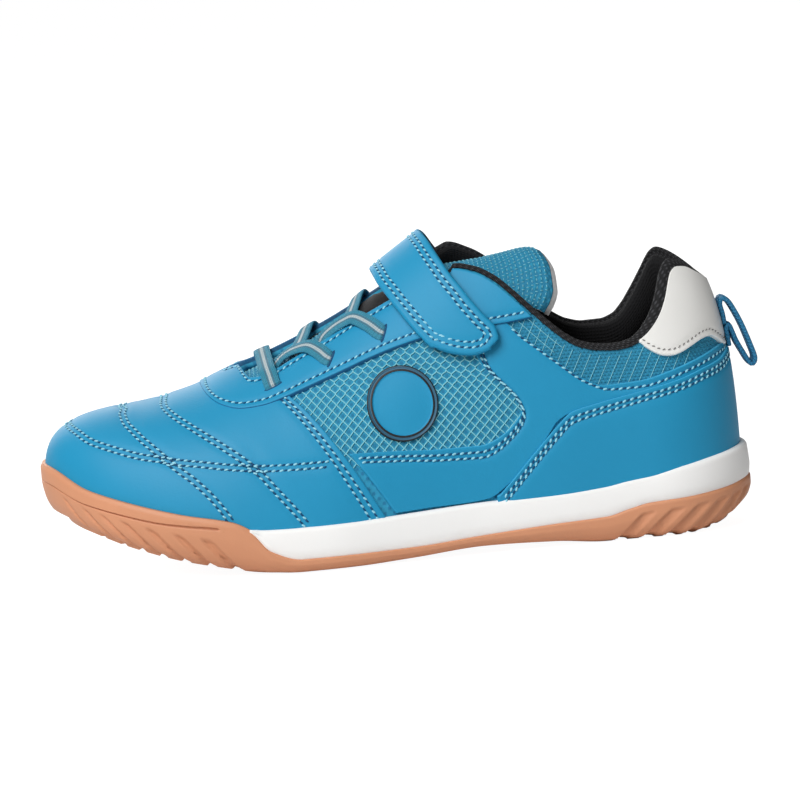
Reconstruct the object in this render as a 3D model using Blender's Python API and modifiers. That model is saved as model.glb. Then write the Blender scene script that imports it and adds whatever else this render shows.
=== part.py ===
"""Indoor court shoe for a child's left foot: sole unit, hollow upper, overlays, strap, laces and pull loop.

Sizes are in millimetres up to the meshes. The toe points to -X, the outer side of the foot to -Y, Z is up.
A station is a distance from the back of the sole. A girth is a distance round the sole's edge from the back
of the heel, positive on the lateral side and negative on the medial side. A turn runs from 0 at the sole to 1
on the ridge of the instep.
"""

import bisect
import math

import bmesh
import bpy
from mathutils import Matrix, Vector

MM = 0.001
OBJECT_NAME = "indoor_court_shoe"

# Driving sizes of the shoe
SOLE_LENGTH = 230.0
LOOP_REACH = 5.0
RIM = 2.6
HEEL_RIM = 4.4
WALL = 1.8
GAP = 0.35
OVERLAY_GAP = 0.5
OVERLAY = 1.0
RIM_CLEAR = 0.9
OUTSOLE_BASE = 4.2
INSOLE = 3.5
TONGUE_PAD = 3.6
STRAP_THICK = 2.4
LACE_WIDTH = 5.5
LACE_THICK = 1.2
LOOP_WIDTH = 10.0
LOOP_THICK = 1.6
BADGE_RADIUS = 11.7

# Plan of the sole: ends are round by a power law, the sides follow the table
HEEL_CENTRE = 32.0
BALL_CENTRE = 165.0
TOE_CENTRE = 196.0
HEEL_ROUND = 2.15
TOE_ROUND = 2.05
TOE_SWING = 6.0
SWING_START = 110.0
HEEL_X = (SOLE_LENGTH - LOOP_REACH) / 2

# Girth is measured on these lengths for a quarter of the heel, one side and a quarter of the toe
HEEL_ARC = 45.0
TOE_ARC = 52.0
SIDE_RUN = TOE_CENTRE - HEEL_CENTRE
GIRTH_END = HEEL_ARC + SIDE_RUN + TOE_ARC
TIP_FULLNESS = 3.8

# Middle line of the foot, from which the outer faces look away
FOOT_REACH = 80.0
FOOT_HEIGHT = 35.0


def table(columns, *rows):
    """A short table as a list for each named column; the first column places the rows."""
    names = columns.split()
    return {name: [row[i] for row in rows] for i, name in enumerate(names)}


# Half widths of the sole from its centre line
PLAN = table(
    "station lateral medial",
    (32, 30.0, 28.5),
    (60, 31.0, 27.5),
    (90, 32.5, 26.5),
    (115, 36.0, 30.5),
    (140, 40.0, 37.5),
    (165, 41.5, 41.0),
)

# Heights along the sole: underside, top of the rubber, top of the rim, and the deck that the upper stands on
SOLE = table(
    "station under rubber rim deck",
    (0, 6.0, 15.5, 26.0, 15.0),
    (10, 2.2, 14.3, 25.0, 14.6),
    (24, 0.0, 13.0, 23.0, 14.2),
    (36, 0.0, 12.3, 21.0, 13.8),
    (43, 0.0, 10.8, 20.0, 13.5),
    (50, 0.0, 9.0, 18.8, 13.0),
    (66, 1.4, 8.2, 17.6, 12.0),
    (90, 2.2, 6.6, 17.0, 10.8),
    (112, 0.9, 5.2, 16.0, 9.6),
    (130, 0.1, 5.0, 15.2, 9.0),
    (148, 0.0, 5.0, 15.0, 8.8),
    (158, 0.6, 8.5, 15.2, 8.8),
    (164, 1.3, 15.4, 15.8, 9.0),
    (170, 2.3, 18.4, 18.4, 9.5),
    (186, 5.2, 21.7, 21.7, 12.6),
    (203, 9.3, 26.0, 26.0, 17.4),
    (216, 13.6, 30.0, 30.0, 21.6),
    (230, 18.0, 36.5, 36.5, 26.0),
)
RIM_FRONT = 164.2

# The last: height of its ridge, sideways place of the ridge, and how full each side is below it
LAST = table(
    "station ridge spine lateral medial",
    (2, 97.5, 0.0, 2.8, 2.8),
    (32, 97.5, 0.0, 2.8, 2.8),
    (45, 101.0, 0.5, 2.5, 2.5),
    (60, 105.0, 1.5, 2.3, 2.4),
    (75, 106.5, 2.5, 2.15, 2.3),
    (90, 102.8, 3.5, 2.0, 2.25),
    (105, 93.2, 4.0, 1.92, 2.25),
    (120, 83.1, 4.0, 1.88, 2.3),
    (135, 74.0, 4.0, 1.86, 2.35),
    (150, 66.9, 4.2, 1.88, 2.4),
    (165, 61.2, 4.8, 2.0, 2.4),
    (180, 55.6, 5.2, 2.15, 2.45),
    (196, 52.2, 5.6, 2.35, 2.5),
    (215, 50.7, 5.8, 2.4, 2.5),
    (230, 50.0, 6.0, 2.4, 2.5),
)

# Top edge of the upper from the back of the heel, over the ear and the ankle dip, to the throat's corner
COLLAR = table(
    "girth lateral medial",
    (0, 78.6, 78.6),
    (8, 79.6, 80.0),
    (16, 82.5, 83.6),
    (21.5, 84.3, 85.4),
    (26, 84.6, 86.2),
    (29, 83.4, 85.2),
    (31.5, 80.6, 83.2),
    (34, 76.4, 80.4),
    (37, 71.6, 77.0),
    (40, 67.9, 73.4),
    (43.5, 64.7, 69.4),
    (48, 62.4, 65.8),
    (53, 61.6, 64.4),
    (59, 62.0, 64.4),
    (65, 63.5, 65.8),
    (70, 66.4, 68.6),
    (75, 70.7, 73.0),
    (81, 76.5, 78.8),
    (86.5, 82.0, 84.4),
    (91.5, 86.4, 89.4),
    (97, 89.4, 93.4),
    (104, 90.8, 96.6),
)
CORNER = 104.0

# Edge of the throat as a drop below the ridge
THROAT = table(
    "girth lateral medial",
    (104, 11.8, 6.0),
    (112, 9.2, 4.8),
    (120, 7.2, 4.0),
    (128, 5.8, 3.0),
    (138, 4.6, 2.2),
    (150, 4.1, 1.5),
    (158, 4.1, 1.3),
    (164, 4.4, 1.2),
    (169, 4.3, 1.1),
    (173, 3.4, 0.9),
    (176.5, 0.0, 0.0),
)
THROAT_END = 176.5

# Padded collar: how far it stands above the upper's edge, how deep it hangs inside, how far it swells inward
CUFF = table(
    "girth above below swell",
    (0, 2.6, 15.0, 6.0),
    (14, 3.0, 15.0, 6.0),
    (24, 3.2, 15.0, 6.2),
    (36, 2.8, 13.0, 6.4),
    (48, 2.5, 12.0, 6.4),
    (75, 2.4, 12.0, 5.8),
    (92, 2.3, 9.0, 4.2),
    (103, 2.0, 7.0, 3.2),
)
# One section of the collar pad, as shares of the swell inward, the height above and the depth below
CUFF_SECTION = table(
    "inward above below",
    (0.00, 0.45, 0.0),
    (0.08, 0.80, 0.0),
    (0.34, 1.00, 0.0),
    (0.68, 0.84, 0.0),
    (0.93, 0.35, 0.0),
    (1.00, 0.00, 0.25),
    (0.90, 0.00, 0.60),
    (0.66, 0.00, 0.90),
)
# Depths of the pad's back against the upper, as shares
CUFF_BACK = (0.97, 0.4)
CUFF_SHORT = 0.8
CUFF_STEP = 1.5

# Overlay edges as girths and heights on the upper, numbered along each overlay in parts.
# The eyestay's inner and outer edges run from the collar to its front
EYESTAY = table(
    "part inner outer height",
    (0, 82.0, 79.6, 73.6),
    (1, 90.0, 86.5, 72.6),
    (2, 98.0, 93.5, 71.8),
    (3, 106.0, 102.0, 71.0),
    (4, 116.0, 112.0, 70.0),
    (5, 127.0, 122.5, 67.5),
    (6, 138.0, 133.0, 64.2),
    (7, 148.0, 143.0, 60.5),
    (8, 156.5, 153.0, 56.9),
    (9, 164.0, 162.5, 53.6),
    (10, 170.0, 170.0, 51.6),
    (11, 174.0, 177.0, 51.0),
    (12, 177.2, 183.8, 52.4),
    (13, 178.6, 187.9, 54.9),
    (14, 178.9, 189.6, 56.6),
)
EYESTAY_FRONT_INNER = 179.0
EYESTAY_FRONT_OUTER = 190.0
EYESTAY_LIFT = 0.3
EDGE_TURN = 0.012
PART_STEP = 0.8

# The side panel runs from the rim below the window, round its back and along the collar
SIDE_PANEL = table(
    "part girth height upper_girth upper_height",
    (0, 130.0, 17.6, 143.6, 36.2),
    (1, 117.5, 18.2, 127.5, 35.7),
    (2, 107.5, 18.4, 113.5, 35.0),
    (3, 99.0, 19.6, 100.5, 35.0),
    (4, 92.0, 24.2, 89.5, 40.0),
    (5, 84.0, 32.2, 85.5, 46.0),
    (6, 78.0, 38.4, 88.5, 51.0),
    (7, 74.5, 42.4, 97.5, 60.0),
    (8, 72.0, 45.0, 96.0, 69.2),
    (9, 69.5, 46.8, 89.5, 69.6),
    (10, 66.5, 47.6, 84.5, 64.0),
    (11, 63.5, 47.9, 75.5, 57.0),
    (12, 59.5, 48.2, 68.5, 52.9),
    (13, 54.0, 48.9, 60.5, 51.0),
)

# The vamp covers the toe from its slanted rear edge to the eyestay, and in front of that to the ridge
VAMP = table(
    "part girth upper_girth upper_height",
    (0, 132.5, 160.5, 52.6),
    (1, 139.0, 164.5, 51.6),
    (2, 147.0, 170.0, 50.1),
    (3, 156.0, 177.0, 49.4),
    (4, 166.0, 184.8, 51.2),
    (5, 175.0, 189.4, 54.0),
    (6, 183.0, 191.3, 55.6),
)
VAMP_RIDGE = 192.0
VAMP_LIFT = 0.35

# Top edge of the heel counter
COUNTER = table(
    "girth height",
    (0, 57.0),
    (8, 56.4),
    (15, 54.9),
    (25, 52.9),
    (34, 50.5),
    (46.5, 47.9),
    (60, 45.4),
    (69.5, 43.2),
    (73.5, 40.0),
    (84.5, 29.4),
    (92.5, 21.4),
    (96.0, 19.2),
)

# Lower edge of the heel tab
HEEL_TAB = table(
    "girth height",
    (0, 59.0),
    (7, 59.0),
    (11.5, 59.6),
    (14.5, 61.0),
    (18.5, 62.3),
    (22.5, 61.9),
    (28, 60.1),
    (31.7, 58.7),
    (35, 58.0),
    (38, 58.3),
    (40.7, 59.5),
    (43.4, 61.4),
)

# Strap edges as X, from the ridge (reach 0) to the free end (reach 1)
STRAP = table(
    "reach front rear",
    (0.00, -2.2, 15.6),
    (0.30, -1.9, 16.6),
    (0.55, 0.6, 19.2),
    (0.73, 3.9, 24.0),
    (0.85, 6.8, 28.6),
    (0.93, 9.3, 32.0),
    (0.97, 10.8, 32.4),
    (1.00, 12.8, 29.5),
)
STRAP_END_FRONT = 0.445
STRAP_END_REAR = 0.375
STRAP_END_BOW = 0.022

# Lace holes: places along the throat and heights on each side
EYELETS = table(
    "girth lateral medial",
    (166.0, 57.0, 59.8),
    (147.0, 64.3, 66.5),
    (129.0, 71.4, 73.2),
)

# Middle line of the tongue where it leaves the throat, and its half width and side drop at the free top
TONGUE_FREE = table(
    "station height",
    (59.5, 93.3),
    (62.0, 94.0),
    (66.0, 94.2),
    (74.0, 93.0),
    (84.0, 91.2),
    (94.0, 90.0),
    (104.0, 87.6),
    (118.0, 81.3),
)
TONGUE_LEAVES = 118.0
TONGUE_ROOT = 173.0
TONGUE_TOP = 59.5
TONGUE_HALF = 13.8
TONGUE_DROP = 17.0
TONGUE_LEAN = -1.6

# Pull loop in side view, and the badge's place on the side
LOOP_PATH = table(
    "x z",
    (105.9, 72.6),
    (107.6, 72.4),
    (109.3, 70.6),
    (112.6, 64.2),
    (115.4, 56.0),
    (116.4, 51.6),
    (114.8, 49.6),
    (112.6, 53.0),
    (110.6, 57.6),
    (109.0, 61.6),
    (108.4, 63.4),
)
BADGE_GIRTH = 124.5
BADGE_HEIGHT = 50.0


def read(rows, column, at):
    """A column's value at a place along the table, on a smooth curve that doesn't overshoot its rows."""
    places = next(iter(rows.values()))
    values = rows[column]
    if at <= places[0]:
        return values[0]
    if at >= places[-1]:
        return values[-1]
    i = bisect.bisect_right(places, at) - 1

    def grade(k):
        return (values[k + 1] - values[k]) / (places[k + 1] - places[k])

    def slope(k):
        if k == 0 or k == len(places) - 1:
            return 0.0
        before, after = grade(k - 1), grade(k)
        if before * after <= 0:
            return 0.0
        return 2 * before * after / (before + after)

    width = places[i + 1] - places[i]
    t = (at - places[i]) / width
    return (
        values[i] * (1 + 2 * t) * (1 - t) ** 2
        + values[i + 1] * t * t * (3 - 2 * t)
        + width * t * (1 - t) * (slope(i) * (1 - t) - slope(i + 1) * t)
    )


def mix(a, b, share):
    return a + (b - a) * share


def side_name(girth):
    return "lateral" if girth >= 0 else "medial"


def side_sign(girth):
    return -1.0 if girth >= 0 else 1.0


def wrap(girth):
    """A girth past the toe tip, brought to the other side."""
    if girth > GIRTH_END:
        return girth - 2 * GIRTH_END
    if girth < -GIRTH_END:
        return girth + 2 * GIRTH_END
    return girth


def station_of(girth):
    """Station of the sole's edge at a girth."""
    along = abs(girth)
    if along < HEEL_ARC:
        return HEEL_CENTRE * (1 - math.cos(along / HEEL_ARC * math.pi / 2))
    if along < HEEL_ARC + SIDE_RUN:
        return HEEL_CENTRE + along - HEEL_ARC
    quarter = (along - HEEL_ARC - SIDE_RUN) / TOE_ARC * math.pi / 2
    return TOE_CENTRE + (SOLE_LENGTH - TOE_CENTRE) * math.sin(quarter)


def girth_at(x):
    """Girth of the side at an X, between the heel's and the toe's round ends."""
    return HEEL_ARC + HEEL_X - x - HEEL_CENTRE


def half_width(station, side):
    """Half width of the sole at a station."""
    if station < HEEL_CENTRE:
        left = 1 - station / HEEL_CENTRE
        return PLAN[side][0] * max(1 - left**HEEL_ROUND, 0) ** (1 / HEEL_ROUND)
    if station > BALL_CENTRE:
        past = (station - BALL_CENTRE) / (SOLE_LENGTH - BALL_CENTRE)
        return PLAN[side][-1] * max(1 - past**TOE_ROUND, 0) ** (1 / TOE_ROUND)
    return read(PLAN, side, station)


def swing(station):
    """Sideways bend of the centre line towards the big toe."""
    past = max(station - SWING_START, 0) / (SOLE_LENGTH - SWING_START)
    return TOE_SWING * past**2


def sole_edge(girth):
    """Station and sideways place of the sole's outline at a girth, before it is centred."""
    station = station_of(girth)
    return station, swing(station) + side_sign(girth) * half_width(station, side_name(girth))


OUTLINE_STEPS = 400
SIDEWAYS = [sole_edge(mix(-GIRTH_END, GIRTH_END, i / OUTLINE_STEPS))[1] for i in range(OUTLINE_STEPS + 1)]
CENTRE_Y = (min(SIDEWAYS) + max(SIDEWAYS)) / 2


def sole_point(girth, inset, height):
    """A point of the sole's side, drawn in square to its outline."""
    step = 0.5
    station, y = sole_edge(wrap(girth))
    ahead = sole_edge(wrap(girth + step))
    behind = sole_edge(wrap(girth - step))
    along = Vector((behind[0] - ahead[0], ahead[1] - behind[1])).normalized()
    inward = Vector((along.y, -along.x))
    return Vector((HEEL_X - station + inward.x * inset, y - CENTRE_Y + inward.y * inset, height))


def upper_foot(girth):
    """Station and sideways place where the upper's outer face meets the deck."""
    station = station_of(girth)
    side = side_name(girth)
    full = half_width(min(max(station, HEEL_CENTRE), BALL_CENTRE), side)
    half = half_width(station, side) * (full - RIM) / full
    inner_station = HEEL_RIM + station * (SOLE_LENGTH - HEEL_RIM - RIM) / SOLE_LENGTH
    return inner_station, swing(station) + side_sign(girth) * half


def deck_wall(girth, outset, height):
    """A point of the upright wall over the upper's outline at the deck."""
    step = 0.5
    station, y = upper_foot(wrap(girth))
    ahead = upper_foot(wrap(girth + step))
    behind = upper_foot(wrap(girth - step))
    along = Vector((behind[0] - ahead[0], ahead[1] - behind[1])).normalized()
    outward = Vector((-along.y, along.x))
    return Vector((HEEL_X - station + outward.x * outset, y - CENTRE_Y + outward.y * outset, height))


HEEL_SPINE = upper_foot(HEEL_ARC)[0]
TOE_SPINE = upper_foot(HEEL_ARC + SIDE_RUN)[0]


def fullness(girth, station):
    """How full the last's section is: the toe's front is squarer than its sides."""
    full = read(LAST, side_name(girth), station)
    past = max(abs(girth) - HEEL_ARC - SIDE_RUN, 0) / TOE_ARC
    return mix(full, TIP_FULLNESS, math.sin(past * math.pi / 2) ** 2)


def feather(station):
    return read(SOLE, "deck", station) + GAP


def upper_point(girth, turn):
    """A point of the upper's outer face. A turn past 1 goes on down the other side."""
    if turn > 1:
        girth, turn = -girth, 2 - turn
    girth = wrap(girth)
    foot_station, foot_y = upper_foot(girth)
    spine_station = min(max(foot_station, HEEL_SPINE), TOE_SPINE)
    spine_y = read(LAST, "spine", spine_station)
    power = 2 / fullness(girth, spine_station)
    angle = max(turn, 0) * math.pi / 2
    out = max(math.cos(angle), 0) ** power
    rise = math.sin(angle) ** power
    station = mix(spine_station, foot_station, out)
    low = feather(station)
    z = mix(low, read(LAST, "ridge", station), rise)
    return Vector((HEEL_X - station, mix(spine_y, foot_y, out) - CENTRE_Y, z))


POLE_TURN = 0.03


def upper_skin(girth, turn, lift):
    """A point off the upper's outer face. At the toe's pole the direction is read lower down."""
    girth_step, turn_step = 0.6, 0.008
    at = max(turn, turn_step)
    if abs(girth) > HEEL_ARC + SIDE_RUN and abs(at - 1) < POLE_TURN:
        at = 1 - POLE_TURN if at <= 1 else 1 + POLE_TURN
    along = upper_point(girth + girth_step, at) - upper_point(girth - girth_step, at)
    up = upper_point(girth, at + turn_step) - upper_point(girth, at - turn_step)
    normal = up.cross(along).normalized()
    return upper_point(girth, turn) + normal * lift


HALVINGS = 26


def turn_at(girth, height):
    """Turn at which the upper reaches a height."""
    low, high = 0.0, 1.0
    for _ in range(HALVINGS):
        middle = (low + high) / 2
        if upper_point(girth, middle).z < height:
            low = middle
        else:
            high = middle
    return (low + high) / 2


def top_height(girth):
    """Height of the upper's top edge on the collar and beside the throat."""
    along = abs(girth)
    side = side_name(girth)
    if along <= CORNER:
        return read(COLLAR, side, along)
    ridge = upper_point(girth, 1).z
    return ridge - read(THROAT, side, along)


def top_turn(girth):
    """Turn of the upper's top edge: the ridge in front of the throat, else the collar or throat edge."""
    if abs(girth) >= THROAT_END:
        return 1.0
    return turn_at(girth, top_height(girth))


def spaced(start, stop, pitch):
    """Even places from start to stop, about a pitch apart, both ends included."""
    count = max(round(abs(stop - start) / pitch), 1)
    return [mix(start, stop, i / count) for i in range(count + 1)]


def both_sides(half):
    """Lateral girths that end at the heel's back, carried on along the medial side."""
    return [*half, *(-g for g in reversed(half[:-1]))]


def girth_lines(heel_pitch, side_pitch, toe_pitch):
    """Girths round the whole edge, from the heel's back by the lateral side and the toe to the medial."""
    stops = ((0, 56, heel_pitch), (56, CORNER, heel_pitch * 1.4), (CORNER, THROAT_END, side_pitch))
    stops += ((THROAT_END, HEEL_ARC + SIDE_RUN, side_pitch), (HEEL_ARC + SIDE_RUN, GIRTH_END, toe_pitch))
    half = [0.0]
    for start, stop, pitch in stops:
        half += spaced(start, stop, pitch)[1:]
    return half + [-g for g in reversed(half[1:-1])]


def new_object(name, bm, material, collection):
    """A mesh object made from a bmesh in millimetres."""
    bmesh.ops.scale(bm, vec=(MM, MM, MM), verts=bm.verts)
    mesh = bpy.data.meshes.new(name)
    bm.to_mesh(mesh)
    bm.free()
    mesh.shade_smooth()
    mesh.set_sharp_from_angle(angle=math.radians(40))
    obj = bpy.data.objects.new(name, mesh)
    if material:
        obj.data.materials.append(material)
    collection.objects.link(obj)
    return obj


def loft(bm, rings, closed=True):
    """Faces between neighbouring rows of points; closed rows join their ends."""
    rows = [[bm.verts.new(p) for p in ring] for ring in rings]
    count = len(rows[0])
    for low, high in zip(rows, rows[1:]):
        for i in range(count if closed else count - 1):
            j = (i + 1) % count
            bm.faces.new((low[i], low[j], high[j], high[i]))
    return rows


def ladder(bm, ring):
    """A floor across a ring whose points pair up lateral to medial."""
    count = len(ring)
    half = count // 2
    bm.faces.new((ring[0], ring[1], ring[-1]))
    for i in range(1, half - 1):
        bm.faces.new((ring[i], ring[i + 1], ring[count - i - 1], ring[count - i]))
    bm.faces.new((ring[half - 1], ring[half], ring[half + 1]))


def ring_solid(rings):
    """A closed body from stacked rings with a floor across the first and the last."""
    bm = bmesh.new()
    rows = loft(bm, rings)
    ladder(bm, rows[0])
    ladder(bm, rows[-1])
    bmesh.ops.recalc_face_normals(bm, faces=bm.faces)
    return bm


def sheet(rows):
    """An open surface through rows of points, facing away from the middle of the foot."""
    bm = bmesh.new()
    loft(bm, rows, closed=False)
    bmesh.ops.remove_doubles(bm, verts=bm.verts, dist=0.01)
    bm.normal_update()
    facing = 0.0
    for face in bm.faces:
        centre = face.calc_center_median()
        middle = Vector((min(max(centre.x, -FOOT_REACH), FOOT_REACH), 0.0, FOOT_HEIGHT))
        facing += face.calc_area() * face.normal.dot(centre - middle)
    if facing < 0:
        bmesh.ops.reverse_faces(bm, faces=bm.faces)
    return bm


def thicken(obj, thickness, outward):
    """Solidify a sheet to one side of it."""
    solid = obj.modifiers.new("thickness", "SOLIDIFY")
    solid.thickness = thickness * MM
    solid.offset = 1.0 if outward else -1.0
    solid.use_even_offset = True
    return obj


def make_material(name, colour, roughness):
    material = bpy.data.materials.new(name)
    material.use_nodes = True
    shader = material.node_tree.nodes["Principled BSDF"]
    shader.inputs["Base Color"].default_value = (*colour, 1.0)
    shader.inputs["Roughness"].default_value = roughness
    shader.inputs["Metallic"].default_value = 0.0
    return material


UPPER_LINES = girth_lines(5.1, 7.4, 7.4)
RIM_LINES = [HEEL_ARC + RIM_FRONT - HEEL_CENTRE + shift for shift in (-3.0, -1.0, 0.6)]


def sole_lines():
    """Girth lines of the sole unit, with a few more where the rim runs out at the front."""
    half = sorted([g for g in UPPER_LINES if g >= 0] + RIM_LINES)
    return half + [-g for g in reversed(half[1:-1])]


# Side of the rubber from the underside up: how far it is drawn in, share of height, depth of the toe line
OUTSOLE_SIDE = table(
    "inset share line",
    (7.0, 0.00, 0.0),
    (2.6, 0.15, 0.0),
    (0.7, 0.42, 0.0),
    (0.0, 0.70, 0.0),
    (0.0, 0.74, 0.7),
    (0.0, 0.80, 0.0),
    (0.4, 1.00, 0.0),
)
BUMPER_START = RIM_FRONT + 6


def make_outsole(material, collection):
    """Rubber outsole: cupped, rounded under its edge, with a raised toe bumper that has a moulded line."""
    lines = sole_lines()
    rings = []
    for inset, share, line in zip(*OUTSOLE_SIDE.values()):
        ring = []
        for g in lines:
            depth = inset + (line if station_of(g) > BUMPER_START else 0.0)
            height = mix(sole_height("under", g), sole_height("rubber", g), share)
            ring.append(sole_point(g, depth, height))
        rings.append(ring)
    rings.append([deck_wall(g, GAP, sole_height("rubber", g)) for g in lines])
    rings.append([deck_wall(g, GAP, cup_floor(g)) for g in lines])
    return new_object("outsole", ring_solid(rings), material, collection)


def bar_cutter(bm, centre, along, up, normal, size):
    """A slanted bar that cuts into the sole; its length, width and depth lie on the three directions."""
    frame = Matrix((along, up, normal)).transposed().to_4x4()
    frame.translation = centre
    scale = Matrix.Diagonal((*size, 1.0))
    bmesh.ops.create_cube(bm, size=1.0, matrix=frame @ scale)


RIB_DEPTH = 1.4
RIB_WIDTH = 2.6
RIB_LENGTH = 16.0
TOE_RIB_SHARE = 0.36
HEEL_RIB_SHARE = 0.46
CUTTER_DEPTH = 8.0
TOE_RIBS = spaced(183.0, 236.0, 7.6)
HEEL_RIBS = spaced(14.0, 46.0, 8.0)
TREAD_DEPTH = 1.3
TREAD_WIDTH = 2.4
TREAD_MARGIN = 11.0
TREAD_STATIONS = spaced(16.0, 48.0, 8.0) + spaced(118.0, 190.0, 9.0)


def make_rib_cutter(collection):
    """Slanted side ribs of the toe and heel, and cross grooves of the tread."""
    bm = bmesh.new()
    for ribs, share, slant in ((TOE_RIBS, TOE_RIB_SHARE, -1.0), (HEEL_RIBS, HEEL_RIB_SHARE, 1.0)):
        for g in [g * s for g in ribs for s in (1, -1)]:
            height = mix(sole_height("under", g), sole_height("rubber", g), share)
            centre = sole_point(g, 0.0, height)
            outward = (sole_point(g, -1.0, height) - centre).normalized()
            back = Vector((-outward.y, outward.x, 0.0)) * (1.0 if g > 0 else -1.0)
            along = (back + Vector((0, 0, slant))).normalized()
            across = outward.cross(along)
            middle = centre + outward * (CUTTER_DEPTH / 2 - RIB_DEPTH)
            bar_cutter(bm, middle, along, across, outward, (RIB_LENGTH, RIB_WIDTH, CUTTER_DEPTH))
    for station in TREAD_STATIONS:
        under = read(SOLE, "under", station)
        slope = read(SOLE, "under", station + 0.5) - read(SOLE, "under", station - 0.5)
        along = Vector((-1.0, 0.0, slope)).normalized()
        across = Vector((0.0, 1.0, 0.0))
        normal = along.cross(across)
        width = half_width(station, "lateral") + half_width(station, "medial") - 2 * TREAD_MARGIN
        middle = Vector((HEEL_X - station, swing(station) - CENTRE_Y, under + TREAD_DEPTH - CUTTER_DEPTH / 2))
        bar_cutter(bm, middle, along, across, normal, (TREAD_WIDTH, width, CUTTER_DEPTH))
    return new_object("tread_cutter", bm, None, collection)


def combine(obj, other, operation):
    """Cut another mesh from an object, or join it on; the other one is kept as a guide."""
    boolean = obj.modifiers.new(operation.lower(), "BOOLEAN")
    boolean.operation = operation
    boolean.object = other
    boolean.solver = "EXACT"
    other.hide_render = True
    other.display_type = "WIRE"


def cut(obj, cutter):
    combine(obj, cutter, "DIFFERENCE")


def join(obj, other):
    combine(obj, other, "UNION")


def sole_height(column, girth):
    return read(SOLE, column, station_of(girth))


def deck_height(girth):
    """Height of the deck under the upper's outline."""
    return read(SOLE, "deck", upper_foot(girth)[0])


def cup_floor(girth):
    """Height of the floor of the rubber cup under the upper's outline."""
    return read(SOLE, "under", upper_foot(girth)[0]) + OUTSOLE_BASE


RIM_ROOT = 0.8
RIM_ROOT_HEIGHT = 1.6


def rim_section(girth):
    """Section of the midsole's rim at a girth, rooted in the deck's edge where the rubber lies below it."""
    low = sole_height("rubber", girth) + GAP
    top = sole_height("rim", girth)
    deck = deck_height(girth)
    rooted = low < deck - RIM_ROOT_HEIGHT
    root = -RIM_ROOT if rooted else GAP
    return [
        deck_wall(girth, root, low),
        sole_point(girth, 0.2, low),
        sole_point(girth, 0.0, mix(low, top, 0.3)),
        sole_point(girth, 0.5, mix(low, top, 0.75)),
        sole_point(girth, 1.3, top),
        deck_wall(girth, GAP, top),
        deck_wall(girth, GAP, deck if rooted else mix(low, top, 0.4)),
        deck_wall(girth, root, deck - 0.5 if rooted else mix(low, top, 0.2)),
    ]


def make_midsole(material, collection, cutters):
    """White midsole: fills the rubber cup and stands as a rim round the upper, up to the toe bumper."""
    lines = sole_lines()
    floor = [deck_wall(g, 0.0, cup_floor(g) + GAP) for g in lines]
    deck = [deck_wall(g, 0.0, deck_height(g)) for g in lines]
    body = new_object("midsole", ring_solid([floor, deck]), material, collection)

    bm = bmesh.new()
    half = [g for g in lines if g >= 0 and station_of(g) < RIM_FRONT]
    rows = loft(bm, [rim_section(g) for g in both_sides(half[::-1])])
    bm.faces.new(rows[0])
    bm.faces.new(rows[-1])
    bmesh.ops.recalc_face_normals(bm, faces=bm.faces)
    rim = new_object("midsole_rim", bm, None, cutters)
    join(body, rim)
    return body


# Side of the insole: how far it is drawn in from the upper, and its height over the deck as a share
INSOLE_SIDE = table(
    "inset share",
    (1.0, 0.06),
    (0.6, 0.35),
    (0.8, 0.83),
    (2.2, 1.00),
)


def make_insole(material, collection):
    """Flat footbed inside the upper, following the deck."""
    lines = girth_lines(11.0, 14.0, 10.0)
    rings = []
    for inset, share in zip(*INSOLE_SIDE.values()):
        rings.append([deck_wall(g, -WALL - inset, deck_height(g) + GAP + INSOLE * share) for g in lines])
    return new_object("insole", ring_solid(rings), material, collection)


UPPER_ROWS = 7


def make_upper(material, collection):
    """Hollow upper over the last, open at the collar, the throat and underneath."""
    rows = []
    for g in UPPER_LINES + UPPER_LINES[:1]:
        top = top_turn(g)
        rows.append([upper_point(g, top * j / UPPER_ROWS) for j in range(UPPER_ROWS + 1)])
    obj = new_object("upper", sheet(rows), material, collection)
    return thicken(obj, WALL, outward=False)


def patch(lower, upper, rows, lift):
    """Points between two edges given as girth and turn, at a distance off the upper."""
    grid = []
    for (g0, t0), (g1, t1) in zip(lower, upper):
        grid.append([upper_skin(mix(g0, g1, j / rows), mix(t0, t1, j / rows), lift) for j in range(rows + 1)])
    return grid


def on_side(girth, height):
    return girth, turn_at(girth, height)


def overlay_parts(rows):
    """Even places along an overlay's table, closer than its rows."""
    return spaced(rows["part"][0], rows["part"][-1], PART_STEP)


def overlay(name, lower, upper, rows, lift, material, collection):
    """An overlay on the upper between two edges given as girth and turn."""
    obj = new_object(name, sheet(patch(lower, upper, rows, lift)), material, collection)
    return thicken(obj, OVERLAY, outward=True)


def make_eyestay(material, collection):
    """Lace stay round the throat, from collar to collar by the toe end."""
    inner, outer = [], []
    parts = overlay_parts(EYESTAY)
    for sign, order in ((1, parts), (-1, parts[::-1])):
        for part in order:
            girth = sign * read(EYESTAY, "inner", part)
            short = EDGE_TURN
            if abs(girth) >= THROAT_END:
                short = EDGE_TURN * (EYESTAY_FRONT_INNER - abs(girth))
            inner.append((girth, top_turn(girth) - short))
            outer.append(on_side(sign * read(EYESTAY, "outer", part), read(EYESTAY, "height", part)))
        if sign > 0:
            inner.append((EYESTAY_FRONT_INNER, 1.0))
            outer.append((EYESTAY_FRONT_OUTER, 1.0))
    return overlay("eyestay", outer, inner, 4, OVERLAY_GAP + EYESTAY_LIFT, material, collection)


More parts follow.
